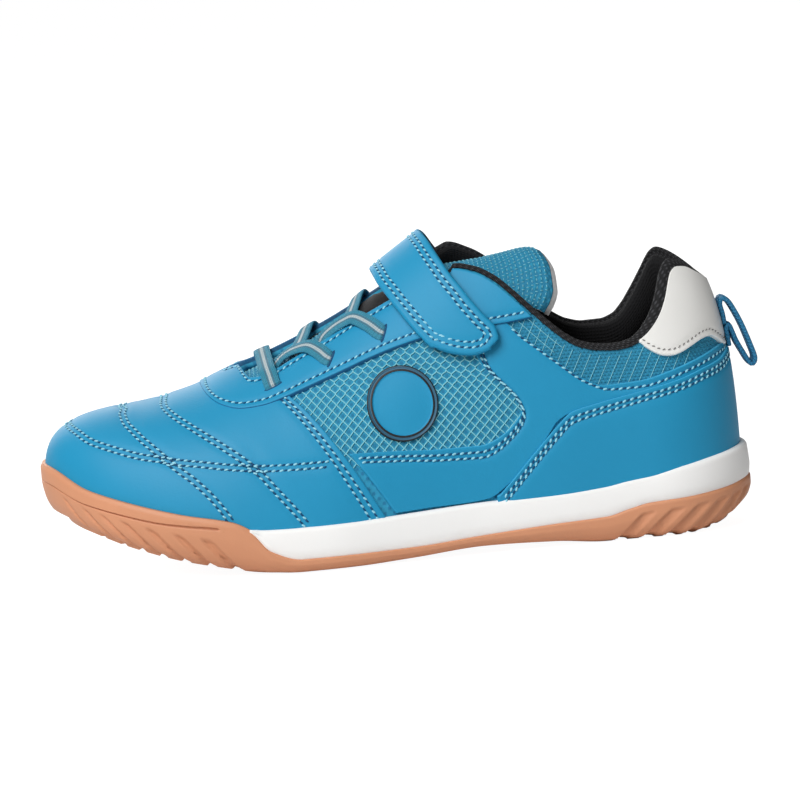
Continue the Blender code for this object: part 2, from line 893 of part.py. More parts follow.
def make_side_panel(name, sign, material, collection):
    """Panel below and behind the mesh window, running back along the collar."""
    lower, upper = [], []
    for part in overlay_parts(SIDE_PANEL):
        lower.append(on_side(sign * read(SIDE_PANEL, "girth", part), read(SIDE_PANEL, "height", part)))
        upper_girth = sign * read(SIDE_PANEL, "upper_girth", part)
        upper.append(on_side(upper_girth, read(SIDE_PANEL, "upper_height", part)))
    return overlay(name, lower, upper, 3, OVERLAY_GAP, material, collection)


def make_vamp(material, collection):
    """Toe panel over the last, from the rim to the eyestay and the ridge."""
    toe_start = HEEL_ARC + SIDE_RUN
    fan = [*spaced(VAMP_RIDGE, toe_start, 8.5), *spaced(toe_start, GIRTH_END, 7.4)[1:]]

    def half(sign):
        lower, upper = [], []
        for part in overlay_parts(VAMP):
            girth = sign * read(VAMP, "girth", part)
            lower.append(on_side(girth, sole_height("rim", girth) + RIM_CLEAR))
            upper.append(on_side(sign * read(VAMP, "upper_girth", part), read(VAMP, "upper_height", part)))
        for girth in fan:
            lower.append(on_side(sign * girth, sole_height("rim", girth) + RIM_CLEAR))
            upper.append((sign * girth, 1.0))
        return lower, upper

    lateral, medial = half(1), half(-1)
    lower, upper = (near + far[-2::-1] for near, far in zip(lateral, medial))
    return overlay("vamp", lower, upper, 6, OVERLAY_GAP + VAMP_LIFT, material, collection)


def band_round_heel(name, lines, low, high, rows, material, collection):
    """Overlay round the heel between two heights that follow the girth."""
    lower = [on_side(g, low(g)) for g in lines]
    upper = [on_side(g, high(g)) for g in lines]
    return overlay(name, lower, upper, rows, OVERLAY_GAP, material, collection)


def make_heel_counter(material, collection):
    lines = both_sides(spaced(COUNTER["girth"][-1], 0.0, 6.0))

    def low(g):
        return sole_height("rim", g) + RIM_CLEAR

    def high(g):
        return read(COUNTER, "height", abs(g))

    return band_round_heel("heel_counter", lines, low, high, 3, material, collection)


def make_heel_tab(material, collection):
    lines = both_sides(spaced(HEEL_TAB["girth"][-1], 0.0, 3.6))

    def low(g):
        return read(HEEL_TAB, "height", abs(g))

    def high(g):
        return top_height(g) - GAP

    return band_round_heel("heel_tab", lines, low, high, 3, material, collection)


def make_collar(material, collection):
    """Padded collar that caps the upper's top edge, square to it, and swells inside it."""
    half = [g for g in UPPER_LINES if 0 <= g < CORNER]
    lines = both_sides([CORNER - CUFF_SHORT, *reversed(half)])
    inside = WALL + GAP
    rings = []
    for g in lines:
        top = top_height(g)
        above, below, swell = (read(CUFF, name, abs(g)) for name in ("above", "below", "swell"))

        slope = (top_height(g + CUFF_STEP) - top_height(g - CUFF_STEP)) / (2 * CUFF_STEP)
        slant = math.hypot(1, slope)

        def at(inward, height):
            share = max(height, 0) / slant
            girth = g - slope * share
            return upper_skin(girth, turn_at(girth, top + min(height, 0) + share), -inward)

        ring = [at(0.0, GAP)]
        for inward, up, down in zip(*CUFF_SECTION.values()):
            ring.append(at(max(swell * inward, inside * (down > 0)), above * up - below * down))
        ring.extend(at(inside, -below * share) for share in CUFF_BACK)
        ring.append(at(inside, GAP))
        rings.append(ring)
    bm = bmesh.new()
    rows = loft(bm, rings)
    bm.faces.new(rows[0])
    bm.faces.new(rows[-1])
    bmesh.ops.recalc_face_normals(bm, faces=bm.faces)
    return new_object("collar", bm, material, collection)


TONGUE_COLUMNS = 6
TONGUE_LATERAL_TURN = 0.66
TONGUE_MEDIAL_TURN = 0.73
TONGUE_DEPTH = 2.0
TONGUE_END = 0.14
TONGUE_END_ROUND = 0.45
TONGUE_BOW = 2.1


def tongue_row(station):
    """Across the tongue at a station where the upper holds it down."""
    girth = HEEL_ARC + station - HEEL_CENTRE
    points = []
    for j in range(TONGUE_COLUMNS + 1):
        turn = mix(TONGUE_LATERAL_TURN, 2 - TONGUE_MEDIAL_TURN, j / TONGUE_COLUMNS)
        points.append(upper_skin(girth, turn, -WALL - TONGUE_DEPTH))
    return points


def make_tongue(material, collection):
    """Padded tongue under the throat; its free top leaves the instep and curls over towards the ankle."""
    rows = [tongue_row(s) for s in spaced(TONGUE_ROOT, TONGUE_LEAVES, 8.0)]
    base = rows[-1]
    middle = base[TONGUE_COLUMNS // 2]
    start = read(TONGUE_FREE, "height", TONGUE_LEAVES)
    for station in spaced(TONGUE_LEAVES, TONGUE_TOP, 6.2)[1:]:
        share = (TONGUE_LEAVES - station) / (TONGUE_LEAVES - TONGUE_TOP)
        end = max(share - 1 + TONGUE_END, 0) / TONGUE_END
        rounding = math.sqrt(1 - TONGUE_END_ROUND * end**2)
        rise = middle.z + (read(TONGUE_FREE, "height", station) - start)
        row = []
        for j, point in enumerate(base):
            across = (2 * j / TONGUE_COLUMNS - 1) * rounding
            free = Vector((0, TONGUE_LEAN + across * TONGUE_HALF, -TONGUE_DROP * abs(across) ** TONGUE_BOW))
            offset = (point - middle).lerp(free, share)
            row.append(Vector((HEEL_X - station, middle.y, rise)) + offset)
        rows.append(row)
    obj = new_object("tongue", sheet(rows), material, collection)
    return thicken(obj, TONGUE_PAD, outward=False)


STRAP_COLUMNS = 4
STRAP_LIFT = 2.0
STRAP_ARCH = 1.6


def make_strap(material, collection):
    """Hook-and-loop strap across the instep, with its rounded free end on the lateral side."""
    reaches = [*spaced(1.0, 0.9, 0.034), *spaced(0.9, 0.0, 0.115)[1:]]
    rows = []
    for reach in both_sides(reaches):
        along = abs(reach)
        front, rear = read(STRAP, "front", along), read(STRAP, "rear", along)
        lift = STRAP_LIFT + STRAP_ARCH * (1 - along**2)
        row = []
        for j in range(STRAP_COLUMNS + 1):
            across = j / STRAP_COLUMNS
            girth = girth_at(mix(front, rear, across))
            end = mix(STRAP_END_FRONT, STRAP_END_REAR, across) - 4 * STRAP_END_BOW * across * (1 - across)
            row.append(upper_skin(girth if reach >= 0 else -girth, mix(1.0, end, along), lift))
        rows.append(row)
    obj = new_object("strap", sheet(rows), material, collection)
    return thicken(obj, STRAP_THICK, outward=True)


LACE_LIFT = 2.5
LACE_OFFSET = 3.4
LACE_STEPS = 10
LACE_UNDER = 0.25


def over_throat(girth, turn, lift):
    """A point off the eyestay, and between the throat's edges on a straight line from one to the other."""
    near, far = top_turn(girth), 2 - top_turn(-girth)
    if not near < turn < far:
        return upper_skin(girth, turn, lift)
    share = (turn - near) / (far - near)
    return upper_skin(girth, near, lift).lerp(upper_skin(girth, far, lift), share)


def lace_strip(girth_a, turn_a, girth_b, turn_b, lift):
    """Rows of a flat lace from a lateral hole to a medial one, over the throat."""
    rows = []
    for k in range(LACE_STEPS + 1):
        share = k / LACE_STEPS
        girth = mix(girth_a, girth_b, share)
        turn = mix(turn_a, 2 - turn_b, share)
        row = [over_throat(girth + side * LACE_WIDTH / 2, turn, lift) for side in (-1, 0, 1)]
        rows.append(row)
    return rows


def make_laces(material, collection, cutters):
    """One bar at the toe end, then two crossings; each crossing's strips are joined."""
    holes = []
    for k in range(3):
        g = EYELETS["girth"][k]
        holes.append((g, turn_at(g, EYELETS["lateral"][k]), turn_at(-g, EYELETS["medial"][k])))

    def strip(name, start, end, offset_a, offset_b, home, lift):
        rows = lace_strip(start[0] + offset_a, start[1], end[0] + offset_b, end[2], lift)
        return thicken(new_object(name, sheet(rows), material, home), LACE_THICK, outward=True)

    strip("lace_bar", holes[0], holes[0], LACE_OFFSET, LACE_OFFSET, collection, LACE_LIFT)
    for k, name in ((0, "lace_cross_low"), (1, "lace_cross_high")):
        near, far = -LACE_OFFSET, LACE_OFFSET
        first = strip(name, holes[k], holes[k + 1], near, far, collection, LACE_LIFT)
        second = strip(name + "_under", holes[k + 1], holes[k], far, near, cutters, LACE_LIFT - LACE_UNDER)
        join(first, second)


def make_pull_loop(material, collection):
    """Webbing loop at the back of the heel, bent from one ribbon."""
    rows = []
    for y in (-LOOP_WIDTH / 2, LOOP_WIDTH / 2):
        rows.append([Vector((x, y - CENTRE_Y, z)) for x, z in zip(LOOP_PATH["x"], LOOP_PATH["z"])])
    obj = new_object("pull_loop", sheet(rows), material, collection)
    solid = thicken(obj, LOOP_THICK, outward=True).modifiers["thickness"]
    solid.offset = 0.0
    return obj


# Section of the badge: share of its radius, and height off the upper
BADGE_SECTION = table(
    "radius lift",
    (0.50, 0.5),
    (1.00, 0.5),
    (1.00, 1.3),
    (0.95, 1.6),
    (0.86, 1.6),
    (0.83, 1.1),
    (0.40, 1.1),
)
BADGE_SIDES = 18


def make_badge(material, collection):
    """Plain round rubber badge on the mesh window, a circle seen from the side."""
    bm = bmesh.new()
    rings = []
    for radius, lift in zip(*BADGE_SECTION.values()):
        ring = []
        for k in range(BADGE_SIDES):
            angle = 2 * math.pi * k / BADGE_SIDES
            girth = BADGE_GIRTH + BADGE_RADIUS * radius * math.cos(angle)
            height = BADGE_HEIGHT + BADGE_RADIUS * radius * math.sin(angle)
            ring.append(upper_skin(*on_side(girth, height), lift))
        rings.append(ring)
    rows = loft(bm, rings)
    bm.faces.new(rows[0])
    bm.faces.new(rows[-1])
    bmesh.ops.recalc_face_normals(bm, faces=bm.faces)
    return new_object("badge", bm, material, collection)


def new_collection(name):
    collection = bpy.data.collections.new(name)
    bpy.context.scene.collection.children.link(collection)
    return collection


def main():
    for obj in list(bpy.data.objects):
        bpy.data.objects.remove(obj, do_unlink=True)
    shoe = new_collection(OBJECT_NAME)
    cutters = new_collection("cutters")

    gum = make_material("gum_rubber", (0.62, 0.30, 0.15), 0.45)
    white_foam = make_material("white_midsole", (0.88, 0.88, 0.86), 0.5)
    blue_leather = make_material("blue_synthetic_leather", (0.04, 0.34, 0.62), 0.45)
    blue_mesh = make_material("blue_mesh", (0.10, 0.42, 0.66), 0.7)
    white_leather = make_material("white_synthetic_leather", (0.86, 0.86, 0.83), 0.35)
    black_knit = make_material("black_knit", (0.012, 0.012, 0.014), 0.9)
    lace_weave = make_material("lace_weave", (0.06, 0.38, 0.66), 0.7)
    blue_webbing = make_material("blue_webbing", (0.03, 0.30, 0.58), 0.7)
    badge_rubber = make_material("badge_rubber", (0.05, 0.33, 0.60), 0.5)

    outsole = make_outsole(gum, shoe)
    cut(outsole, make_rib_cutter(cutters))
    make_midsole(white_foam, shoe, cutters)
    make_insole(black_knit, shoe)
    make_upper(blue_mesh, shoe)
    make_tongue(blue_mesh, shoe)
    make_collar(black_knit, shoe)
    make_eyestay(blue_leather, shoe)
    make_vamp(blue_leather, shoe)
    make_side_panel("side_panel_lateral", 1, blue_leather, shoe)
    make_side_panel("side_panel_medial", -1, blue_leather, shoe)
    make_heel_counter(blue_leather, shoe)
    make_heel_tab(white_leather, shoe)
    make_strap(blue_leather, shoe)
    make_laces(lace_weave, shoe, cutters)
    make_pull_loop(blue_webbing, shoe)
    make_badge(badge_rubber, shoe)

    root = bpy.data.objects.new(OBJECT_NAME, None)
    shoe.objects.link(root)
    for obj in shoe.objects:
        if obj is not root:
            obj.parent = root


if __name__ == "__main__":
    main()
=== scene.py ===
"""Finished surfaces of a child's indoor court shoe, built round its packed solids, as an add-on.

Sizes are in millimetres until a mesh is made. The toe points to -X, the outer side of the foot to -Y,
Z is up. A station is a distance from the back of the sole. A girth is a distance round the sole's edge
from the back of the heel, positive on the lateral side and negative on the medial side. A turn runs from
0 at the sole to 1 on the ridge of the instep. A lift is a distance off the outer face of the upper.
"""

import math

import bmesh
import bpy
import numpy as np
from mathutils import Matrix, Vector


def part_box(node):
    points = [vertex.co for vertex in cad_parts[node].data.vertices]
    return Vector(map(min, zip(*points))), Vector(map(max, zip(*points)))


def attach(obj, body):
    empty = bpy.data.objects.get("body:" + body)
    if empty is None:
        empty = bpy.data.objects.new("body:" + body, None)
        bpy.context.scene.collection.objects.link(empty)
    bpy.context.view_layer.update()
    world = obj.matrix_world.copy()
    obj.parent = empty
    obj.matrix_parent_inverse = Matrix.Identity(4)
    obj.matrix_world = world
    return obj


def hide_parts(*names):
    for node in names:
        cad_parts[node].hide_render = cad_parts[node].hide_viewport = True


bl_info = {
    "name": "Indoor court shoe",
    "version": (1, 0, 0),
    "blender": (4, 5, 0),
    "location": "View3D > Sidebar > Shoe",
    "description": "Builds the leather, mesh, laces, stitching and sole of a court shoe round its solids",
    "category": "Object",
}

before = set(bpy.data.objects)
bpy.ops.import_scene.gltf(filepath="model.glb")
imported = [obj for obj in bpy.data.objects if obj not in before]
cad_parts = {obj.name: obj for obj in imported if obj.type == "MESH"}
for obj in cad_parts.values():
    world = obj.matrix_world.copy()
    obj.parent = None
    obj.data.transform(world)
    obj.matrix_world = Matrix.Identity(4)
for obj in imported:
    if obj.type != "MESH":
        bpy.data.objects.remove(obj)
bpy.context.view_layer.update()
BODY = "root"
MM = 0.001

# Driving sizes, the first ones read from the packed solids
SOLE_LOW, SOLE_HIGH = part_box("outsole")
SOLE_LENGTH = (SOLE_HIGH.x - SOLE_LOW.x) / MM
HEEL_X = SOLE_HIGH.x / MM
RIM = 2.6
HEEL_RIM = 4.4
WALL = 1.8
GAP = 0.35
INSOLE = 3.5
TONGUE_PAD = 3.6

# Plan of the sole: ends are round by a power law, the sides follow the table
HEEL_CENTRE = 32.0
BALL_CENTRE = 165.0
TOE_CENTRE = 196.0
HEEL_ROUND = 2.15
TOE_ROUND = 2.05
TOE_SWING = 6.0
SWING_START = 110.0
HEEL_ARC = 45.0
TOE_ARC = 52.0
SIDE_RUN = TOE_CENTRE - HEEL_CENTRE
TOE_START = HEEL_ARC + SIDE_RUN
GIRTH_END = TOE_START + TOE_ARC
TIP_FULLNESS = 3.8
RIM_FRONT = 164.2
CORNER = 104.0
THROAT_END = 176.5
FOOT_REACH = 80.0
FOOT_HEIGHT = 35.0


def table(columns, *rows):
    """A short table as an array for each named column; the first column places the rows."""
    return {name: np.array([row[i] for row in rows], float) for i, name in enumerate(columns.split())}


# Half widths of the sole from its centre line
PLAN = table(
    "station lateral medial",
    (32, 30, 28.5), (60, 31, 27.5), (90, 32.5, 26.5), (115, 36, 30.5), (140, 40, 37.5),
    (165, 41.5, 41),
)

# Heights along the sole: underside, top of the rubber, top of the rim, and the deck under the upper
SOLE = table(
    "station under rubber rim deck",
    (0, 6, 15.5, 26, 15),
    (10, 2.2, 14.3, 25, 14.6),
    (24, 0, 13, 23, 14.2),
    (36, 0, 12.3, 21, 13.8),
    (43, 0, 10.8, 20, 13.5),
    (50, 0, 9, 18.8, 13),
    (66, 1.4, 8.2, 17.6, 12),
    (90, 2.2, 6.6, 17, 10.8),
    (112, 0.9, 5.2, 16, 9.6),
    (130, 0.1, 5, 15.2, 9),
    (148, 0, 5, 15, 8.8),
    (158, 0.6, 8.5, 15.2, 8.8),
    (164, 1.3, 15.4, 15.8, 9),
    (170, 2.4, 18.4, 18.4, 9.5),
    (186, 5.8, 21.7, 21.7, 12.6),
    (203, 10.8, 26, 26, 17.4),
    (216, 15.4, 30, 30, 21.6),
    (230, 19.2, 36.5, 36.5, 26),
)

# The last: height of its ridge, sideways place of the ridge, and how full each side is below it
LAST = table(
    "station ridge spine lateral medial",
    (2, 97.5, 0, 2.8, 2.8),
    (32, 97.5, 0, 2.8, 2.8),
    (45, 101, 0.5, 2.5, 2.5),
    (60, 105, 1.5, 2.3, 2.4),
    (75, 106.5, 2.5, 2.15, 2.3),
    (90, 102.8, 3.5, 2, 2.25),
    (105, 93.2, 4, 1.92, 2.25),
    (120, 83.1, 4, 1.88, 2.3),
    (135, 74, 4, 1.86, 2.35),
    (150, 66.9, 4.2, 1.88, 2.4),
    (165, 61.2, 4.8, 2, 2.4),
    (180, 55.6, 5.2, 2.15, 2.45),
    (196, 52.2, 5.6, 2.35, 2.5),
    (215, 50.7, 5.8, 2.4, 2.5),
    (230, 50, 6, 2.4, 2.5),
)

# Top edge of the upper from the back of the heel, over the ear and the ankle dip, to the throat's corner
COLLAR = table(
    "girth lateral medial",
    (0, 78.6, 78.6), (8, 79.6, 80), (16, 82.5, 83.6), (21.5, 84.3, 85.4), (26, 84.6, 86.2),
    (29, 83.4, 85.2), (31.5, 80.6, 83.2), (34, 76.4, 80.4), (37, 71.6, 77), (40, 67.9, 73.4),
    (43.5, 64.7, 69.4), (48, 62.4, 65.8), (53, 61.6, 64.4), (59, 62, 64.4), (65, 63.5, 65.8),
    (70, 66.4, 68.6), (75, 70.7, 73), (81, 76.5, 78.8), (86.5, 82, 84.4), (91.5, 86.4, 89.4),
    (97, 89.4, 93), (104, 90.8, 95.6),
)

# Edge of the throat as a drop below the ridge
THROAT = table(
    "girth lateral medial",
    (104, 11.8, 6), (112, 9.2, 4.8), (120, 7.2, 4), (128, 5.8, 3), (138, 4.6, 2.2),
    (150, 4.1, 1.5), (158, 4.1, 1.3), (164, 4.4, 1.2), (169, 4.3, 1.1), (173, 3.4, 0.9),
    (176.5, 0, 0),
)

# Padded collar: height above the upper's edge, depth that it hangs inside, and swell inward
CUFF = table(
    "girth above below swell",
    (0, 2.2, 15, 6), (14, 2.4, 15, 6), (23, 3.4, 15, 6.2), (33, 4, 13.5, 6.4), (40, 3.4, 12.6, 6.4),
    (48, 2.4, 12, 6.4), (75, 1.8, 12, 5.8), (92, 1.6, 9, 4.2), (103, 1.4, 7, 3.2),
)
# The binding over the upper's edge: distance inward, and share of the height above
BINDING_SECTION = table(
    "inward above",
    (-0.65, 0.18), (-0.75, 0.55), (-0.30, 0.90), (0.50, 1.00), (1.30, 0.88), (1.80, 0.55),
)
# The pad inside it, as shares of the swell inward, the height above and the depth below
CUFF_SECTION = table(
    "inward above below",
    (0.52, 0.72, 0), (0.78, 0.62, 0), (0.95, 0.20, 0), (1.00, 0.00, 0.25), (0.90, 0.00, 0.60),
    (0.66, 0.00, 0.90),
)
CUFF_BACK = (0.97, 0.4)
CUFF_STEP = 1.5
COLLAR_END = 107.0
COLLAR_FAR_END = 114.0
COLLAR_TAPER = 6.0
COLLAR_STEPS = 4

# Panel edges as girths and heights on the upper, numbered along each panel in parts
EYESTAY = table(
    "part inner outer height",
    (0, 82, 79.6, 73.6), (1, 90, 86.5, 72.6), (2, 98, 93.5, 71.8), (3, 106, 102, 71), (4, 116, 112, 70),
    (5, 127, 122.5, 67.5), (6, 138, 133, 64.2), (7, 148, 143, 60.5), (8, 156.5, 153, 56.9),
    (9, 164, 162.5, 53.6), (10, 170, 170, 51.6), (11, 174, 177, 51), (12, 177.2, 183.8, 52.4),
    (13, 178.6, 187.9, 54.9), (14, 178.9, 189.6, 56.6),
)
EYESTAY_FRONT_INNER = 179.0
EYESTAY_FRONT_OUTER = 190.0
EDGE_TURN = 0.012
STRAP_COVERS = 4.3

SIDE_PANEL = table(
    "part girth height upper_girth upper_height",
    (0, 130, 16.4, 143.6, 36.2),
    (1, 117.5, 17, 127.5, 35.7),
    (2, 107.5, 17.2, 113.5, 35),
    (3, 99, 18, 100.5, 35),
    (4, 92, 22, 89.5, 40),
    (5, 84, 29, 85.5, 46),
    (6, 78, 36, 88.5, 51),
    (7, 74.5, 40.4, 98.6, 62),
    (8, 72, 42, 101, 73.4),
    (9, 69.5, 43, 91.8, 74.6),
    (10, 66.5, 43.4, 84.5, 68.9),
    (11, 63.5, 44, 74, 60.6),
    (12, 57.5, 44.6, 65, 53.6),
    (13, 51, 45, 57.5, 50.7),
    (14, 44, 45.8, 46, 51.3),
    (15, 35, 48, 37, 53.3),
    (16, 25, 50.4, 27.5, 55.8),
    (17, 13, 52.8, 14.5, 58.6),
    (18, 0, 54.4, 0, 60),
)

# Parts of the side panel between which its double seam and its single seam run
SIDE_SEAMS = ((0.2, 7.7), (9.5, 17.9))

VAMP = table(
    "part girth upper_girth upper_height",
    (0, 132.5, 164, 56.6), (1, 139, 167, 55.2), (2, 147, 171.5, 53.6), (3, 156, 176.5, 53.2),
    (4, 166, 181.5, 54.6), (5, 175, 184.8, 55.8), (6, 183, 187, 56.8),
)
VAMP_RIDGE = 190.0

COUNTER = table(
    "girth height",
    (0, 57.8), (8, 56.8), (15, 54.9), (25, 52.9), (34, 50.5), (46.5, 47.9), (60, 45.4),
    (69.5, 43.2), (73.5, 40), (84.5, 29.4), (92.5, 21.4), (96, 18.6),
)

HEEL_TAB = table(
    "girth height",
    (0, 57.6), (7, 58), (11.5, 59.6), (14.5, 61), (18.5, 62.3), (22.5, 61.9), (28, 60.1),
    (31.7, 58.7), (35, 58), (38, 58.3), (40.7, 59.5), (43.4, 61.4), (45.4, 63.1),
)

# Strap edges as X, from the ridge (reach 0) to the free end (reach 1)
STRAP = table(
    "reach front rear",
    (0.00, -3.1, 14.1), (0.30, -2.2, 15.8), (0.55, 0.6, 19.2), (0.73, 3.9, 24), (0.85, 6.8, 28.6),
    (0.93, 9.3, 32), (0.97, 10.8, 32.4), (1.00, 12.8, 29.5),
)
STRAP_END_FRONT = 0.445
STRAP_END_REAR = 0.375
STRAP_END_BOW = 0.022
STRAP_LIFT = 2.0
STRAP_ARCH = 1.6

# Lace holes: places along the throat and heights on each side
EYELETS = table(
    "girth lateral medial",
    (166, 57, 59.8),
    (147, 64.3, 66.5),
    (129, 71.4, 73.2),
)

# Middle line of the tongue where it leaves the throat
TONGUE_FREE = table(
    "station height",
    (63.5, 92.2), (65.5, 93.2), (68, 93.5), (74, 92.6), (84, 91), (94, 90),
    (104, 87.6), (118, 81.3),
)
TONGUE_LEAVES = 118.0
TONGUE_ROOT = 173.0
TONGUE_TOP = 63.5
TONGUE_HALF = 13.8
TONGUE_DROP = (19.0, 17.0)
TONGUE_LEAN = -1.6
TONGUE_LATERAL_TURN = 0.66
TONGUE_MEDIAL_TURN = 0.73
TONGUE_SET = 0.4
TONGUE_BOW = 2.1
# How far the free end reaches back past its middle, from the lateral edge (side -1) to the medial one
TONGUE_REACH = table(
    "side reach",
    (-1.00, -0.8), (-0.94, 1), (-0.80, 2.9), (-0.57, 2.7), (-0.25, 0.9), (0.00, 0),
    (0.50, -1.4), (0.80, -3.8), (1.00, -8),
)

# Pull loop in side view
LOOP_PATH = table(
    "x z",
    (107.2, 64.4), (106.7, 68), (106.1, 70.8), (106.6, 72.6), (107.8, 72.4), (109.5, 70.6),
    (112.6, 64.2), (115.3, 56.6), (116.4, 52.6), (115.6, 50.7), (114.3, 51.5), (112.6, 54.6),
    (110.7, 58.4), (109.4, 62), (108.7, 63.7), (107.9, 63.9), (107.6, 62.4), (107.9, 60),
    (108.2, 57.2),
)

BADGE_GIRTH = 124.5
BADGE_HEIGHT = 50.0
BADGE_RADIUS = 11.7

# Heights of the panels' faces off the upper, from the lowest layer up
SADDLE_TOP = 1.0
VAMP_TOP = 1.3
COUNTER_TOP = 1.8
HEEL_TAB_TOP = 1.5
EYESTAY_TOP = 1.8
PANEL_SINK = -0.2
PANEL_ROUND = 0.45
# Width of the band along open panel edges that takes the edge finish: painted highlight, and painted shadow
# on the eyestay
PAINTED_EDGE_WIDTH = 0.3
PANEL_BACK = 0.15
EDGE_STEPS = (0.0, 0.04, 0.12, 0.28, 0.5)

# Net of the side windows: start, spacing and number of its zigzag threads, and the height of a cell
NET_START = -48.0
NET_STEP = 1.55
NET_LINES = 62
NET_CELL = 3.3
NET_LIFT = 0.2
NET_BLUNT = (50.0, 58.0)

# Decorative seams of the vamp: girth and turn where each row leaves the middle line, then X and Z
TOE_SEAM = (
    ((260.9, 0.615), (260.9, 0.57)),
    ((-105.7, 47.7), (-103, 46.6), (-99.0, 44.4), (-92.2, 42.2), (-84.9, 40.2), (-77.8, 38.9),
     (-70.7, 37.6), (-64.8, 36.8), (-57.6, 35.7), (-49.6, 34.8), (-42.6, 34.3), (-35.0, 34.2),
     (-25.5, 34.3)),
)
FRONT_SEAM = (
    ((260.9, 0.966), (260.9, 0.954)),
    ((-88.4, 50.7), (-88.0, 49.7), (-87.1, 48.3), (-85.9, 47.3), (-82.9, 44.8), (-78.4, 41.1),
     (-71.6, 35.4), (-67.8, 32.5), (-64.1, 29.0), (-60.8, 25.3), (-57.8, 21.1), (-56.6, 18.8)),
)
REAR_SEAM = (
    ((201.4, 1.0), (203.2, 1.0)),
    ((-74.9, 53.0), (-74.5, 52.0), (-72.8, 50.7), (-70.4, 49.2), (-65.2, 46.2), (-58.3, 42.0),
     (-51.1, 36.9), (-45.6, 32.0), (-42.6, 28.3), (-36.2, 20.5), (-32.8, 15.8)),
)


def read(rows, column, at):
    """A column's values at places along a table, on a smooth curve that doesn't overshoot its rows."""
    places, values = next(iter(rows.values())), rows[column]
    at = np.clip(at, places[0], places[-1])
    i = np.clip(np.searchsorted(places, at, side="right") - 1, 0, len(places) - 2)
    width = np.diff(places)
    grade = np.diff(values) / width
    product = grade[:-1] * grade[1:]
    rising = product > 0
    inner = np.where(rising, 2 * product / np.where(rising, grade[:-1] + grade[1:], 1), 0)
    slope = np.concatenate(([0.0], inner, [0.0]))
    t = (at - places[i]) / width[i]
    ends = values[i] * (1 + 2 * t) * (1 - t) ** 2 + values[i + 1] * t**2 * (3 - 2 * t)
    return ends + width[i] * t * (1 - t) * (slope[i] * (1 - t) - slope[i + 1] * t)


def by_side(rows, girth, at):
    """The lateral or medial column of a table, as the girth's sign says."""
    return np.where(girth >= 0, read(rows, "lateral", at), read(rows, "medial", at))


def mix(a, b, share):
    return a + (b - a) * share


def unit(v):
    return v / np.maximum(np.linalg.norm(v, axis=-1, keepdims=True), 1e-9)


def wrap(girth):
    """A girth past the toe tip, brought to the other side."""
    girth = np.where(girth > GIRTH_END, girth - 2 * GIRTH_END, girth)
    return np.where(girth < -GIRTH_END, girth + 2 * GIRTH_END, girth)


def station_of(girth):
    """Station of the sole's edge at a girth."""
    along = np.abs(girth)
    heel = HEEL_CENTRE * (1 - np.cos(np.minimum(along / HEEL_ARC, 1) * math.pi / 2))
    toe = (SOLE_LENGTH - TOE_CENTRE) * np.sin(np.clip((along - TOE_START) / TOE_ARC, 0, 1) * math.pi / 2)
    return heel + np.clip(along - HEEL_ARC, 0, SIDE_RUN) + toe


def half_width(station, girth):
    """Half width of the sole at a station."""
    left = np.clip(1 - station / HEEL_CENTRE, 0, 1)
    past = np.clip((station - BALL_CENTRE) / (SOLE_LENGTH - BALL_CENTRE), 0, 1)
    heel = np.maximum(1 - left**HEEL_ROUND, 0) ** (1 / HEEL_ROUND)
    toe = np.maximum(1 - past**TOE_ROUND, 0) ** (1 / TOE_ROUND)
    return by_side(PLAN, girth, station) * heel * toe


def swing(station):
    """Sideways bend of the centre line towards the big toe."""
    return TOE_SWING * (np.maximum(station - SWING_START, 0) / (SOLE_LENGTH - SWING_START)) ** 2


def sole_edge(girth):
    """Station and sideways place of the sole's outline at a girth, before it is centred."""
    station = station_of(girth)
    return station, swing(station) - np.where(girth >= 0, 1, -1) * half_width(station, girth)


def upper_foot(girth):
    """Station and sideways place where the upper's outer face meets the deck."""
    station = station_of(girth)
    full = by_side(PLAN, girth, station)
    half = half_width(station, girth) * (full - RIM) / full
    inner_station = HEEL_RIM + station * (SOLE_LENGTH - HEEL_RIM - RIM) / SOLE_LENGTH
    return inner_station, swing(station) - np.where(girth >= 0, 1, -1) * half


OUTLINE_Y = sole_edge(np.linspace(-GIRTH_END, GIRTH_END, 401))[1]
CENTRE_Y = (OUTLINE_Y.min() + OUTLINE_Y.max()) / 2


def outline_point(outline, girth, inset, height):
    """A point over an outline, drawn in square to it."""
    step = 0.5
    girth, inset, height = np.broadcast_arrays(np.asarray(girth, float), inset, height)
    station, y = outline(wrap(girth))
    ahead, behind = outline(wrap(girth + step)), outline(wrap(girth - step))
    along = unit(np.stack((behind[0] - ahead[0], ahead[1] - behind[1]), -1))
    x = HEEL_X - station + along[..., 1] * inset
    return np.stack((x, y - CENTRE_Y - along[..., 0] * inset, height), -1)


def sole_point(girth, inset, height):
    return outline_point(sole_edge, girth, inset, height)


def deck_wall(girth, outset, height):
    return outline_point(upper_foot, girth, -np.asarray(outset, float), height)


def sole_height(column, girth):
    return read(SOLE, column, station_of(girth))


def deck_height(girth):
    """Height of the deck under the upper's outline."""
    return read(SOLE, "deck", upper_foot(girth)[0])


HEEL_SPINE = float(upper_foot(np.array(HEEL_ARC))[0])
TOE_SPINE = float(upper_foot(np.array(TOE_START))[0])


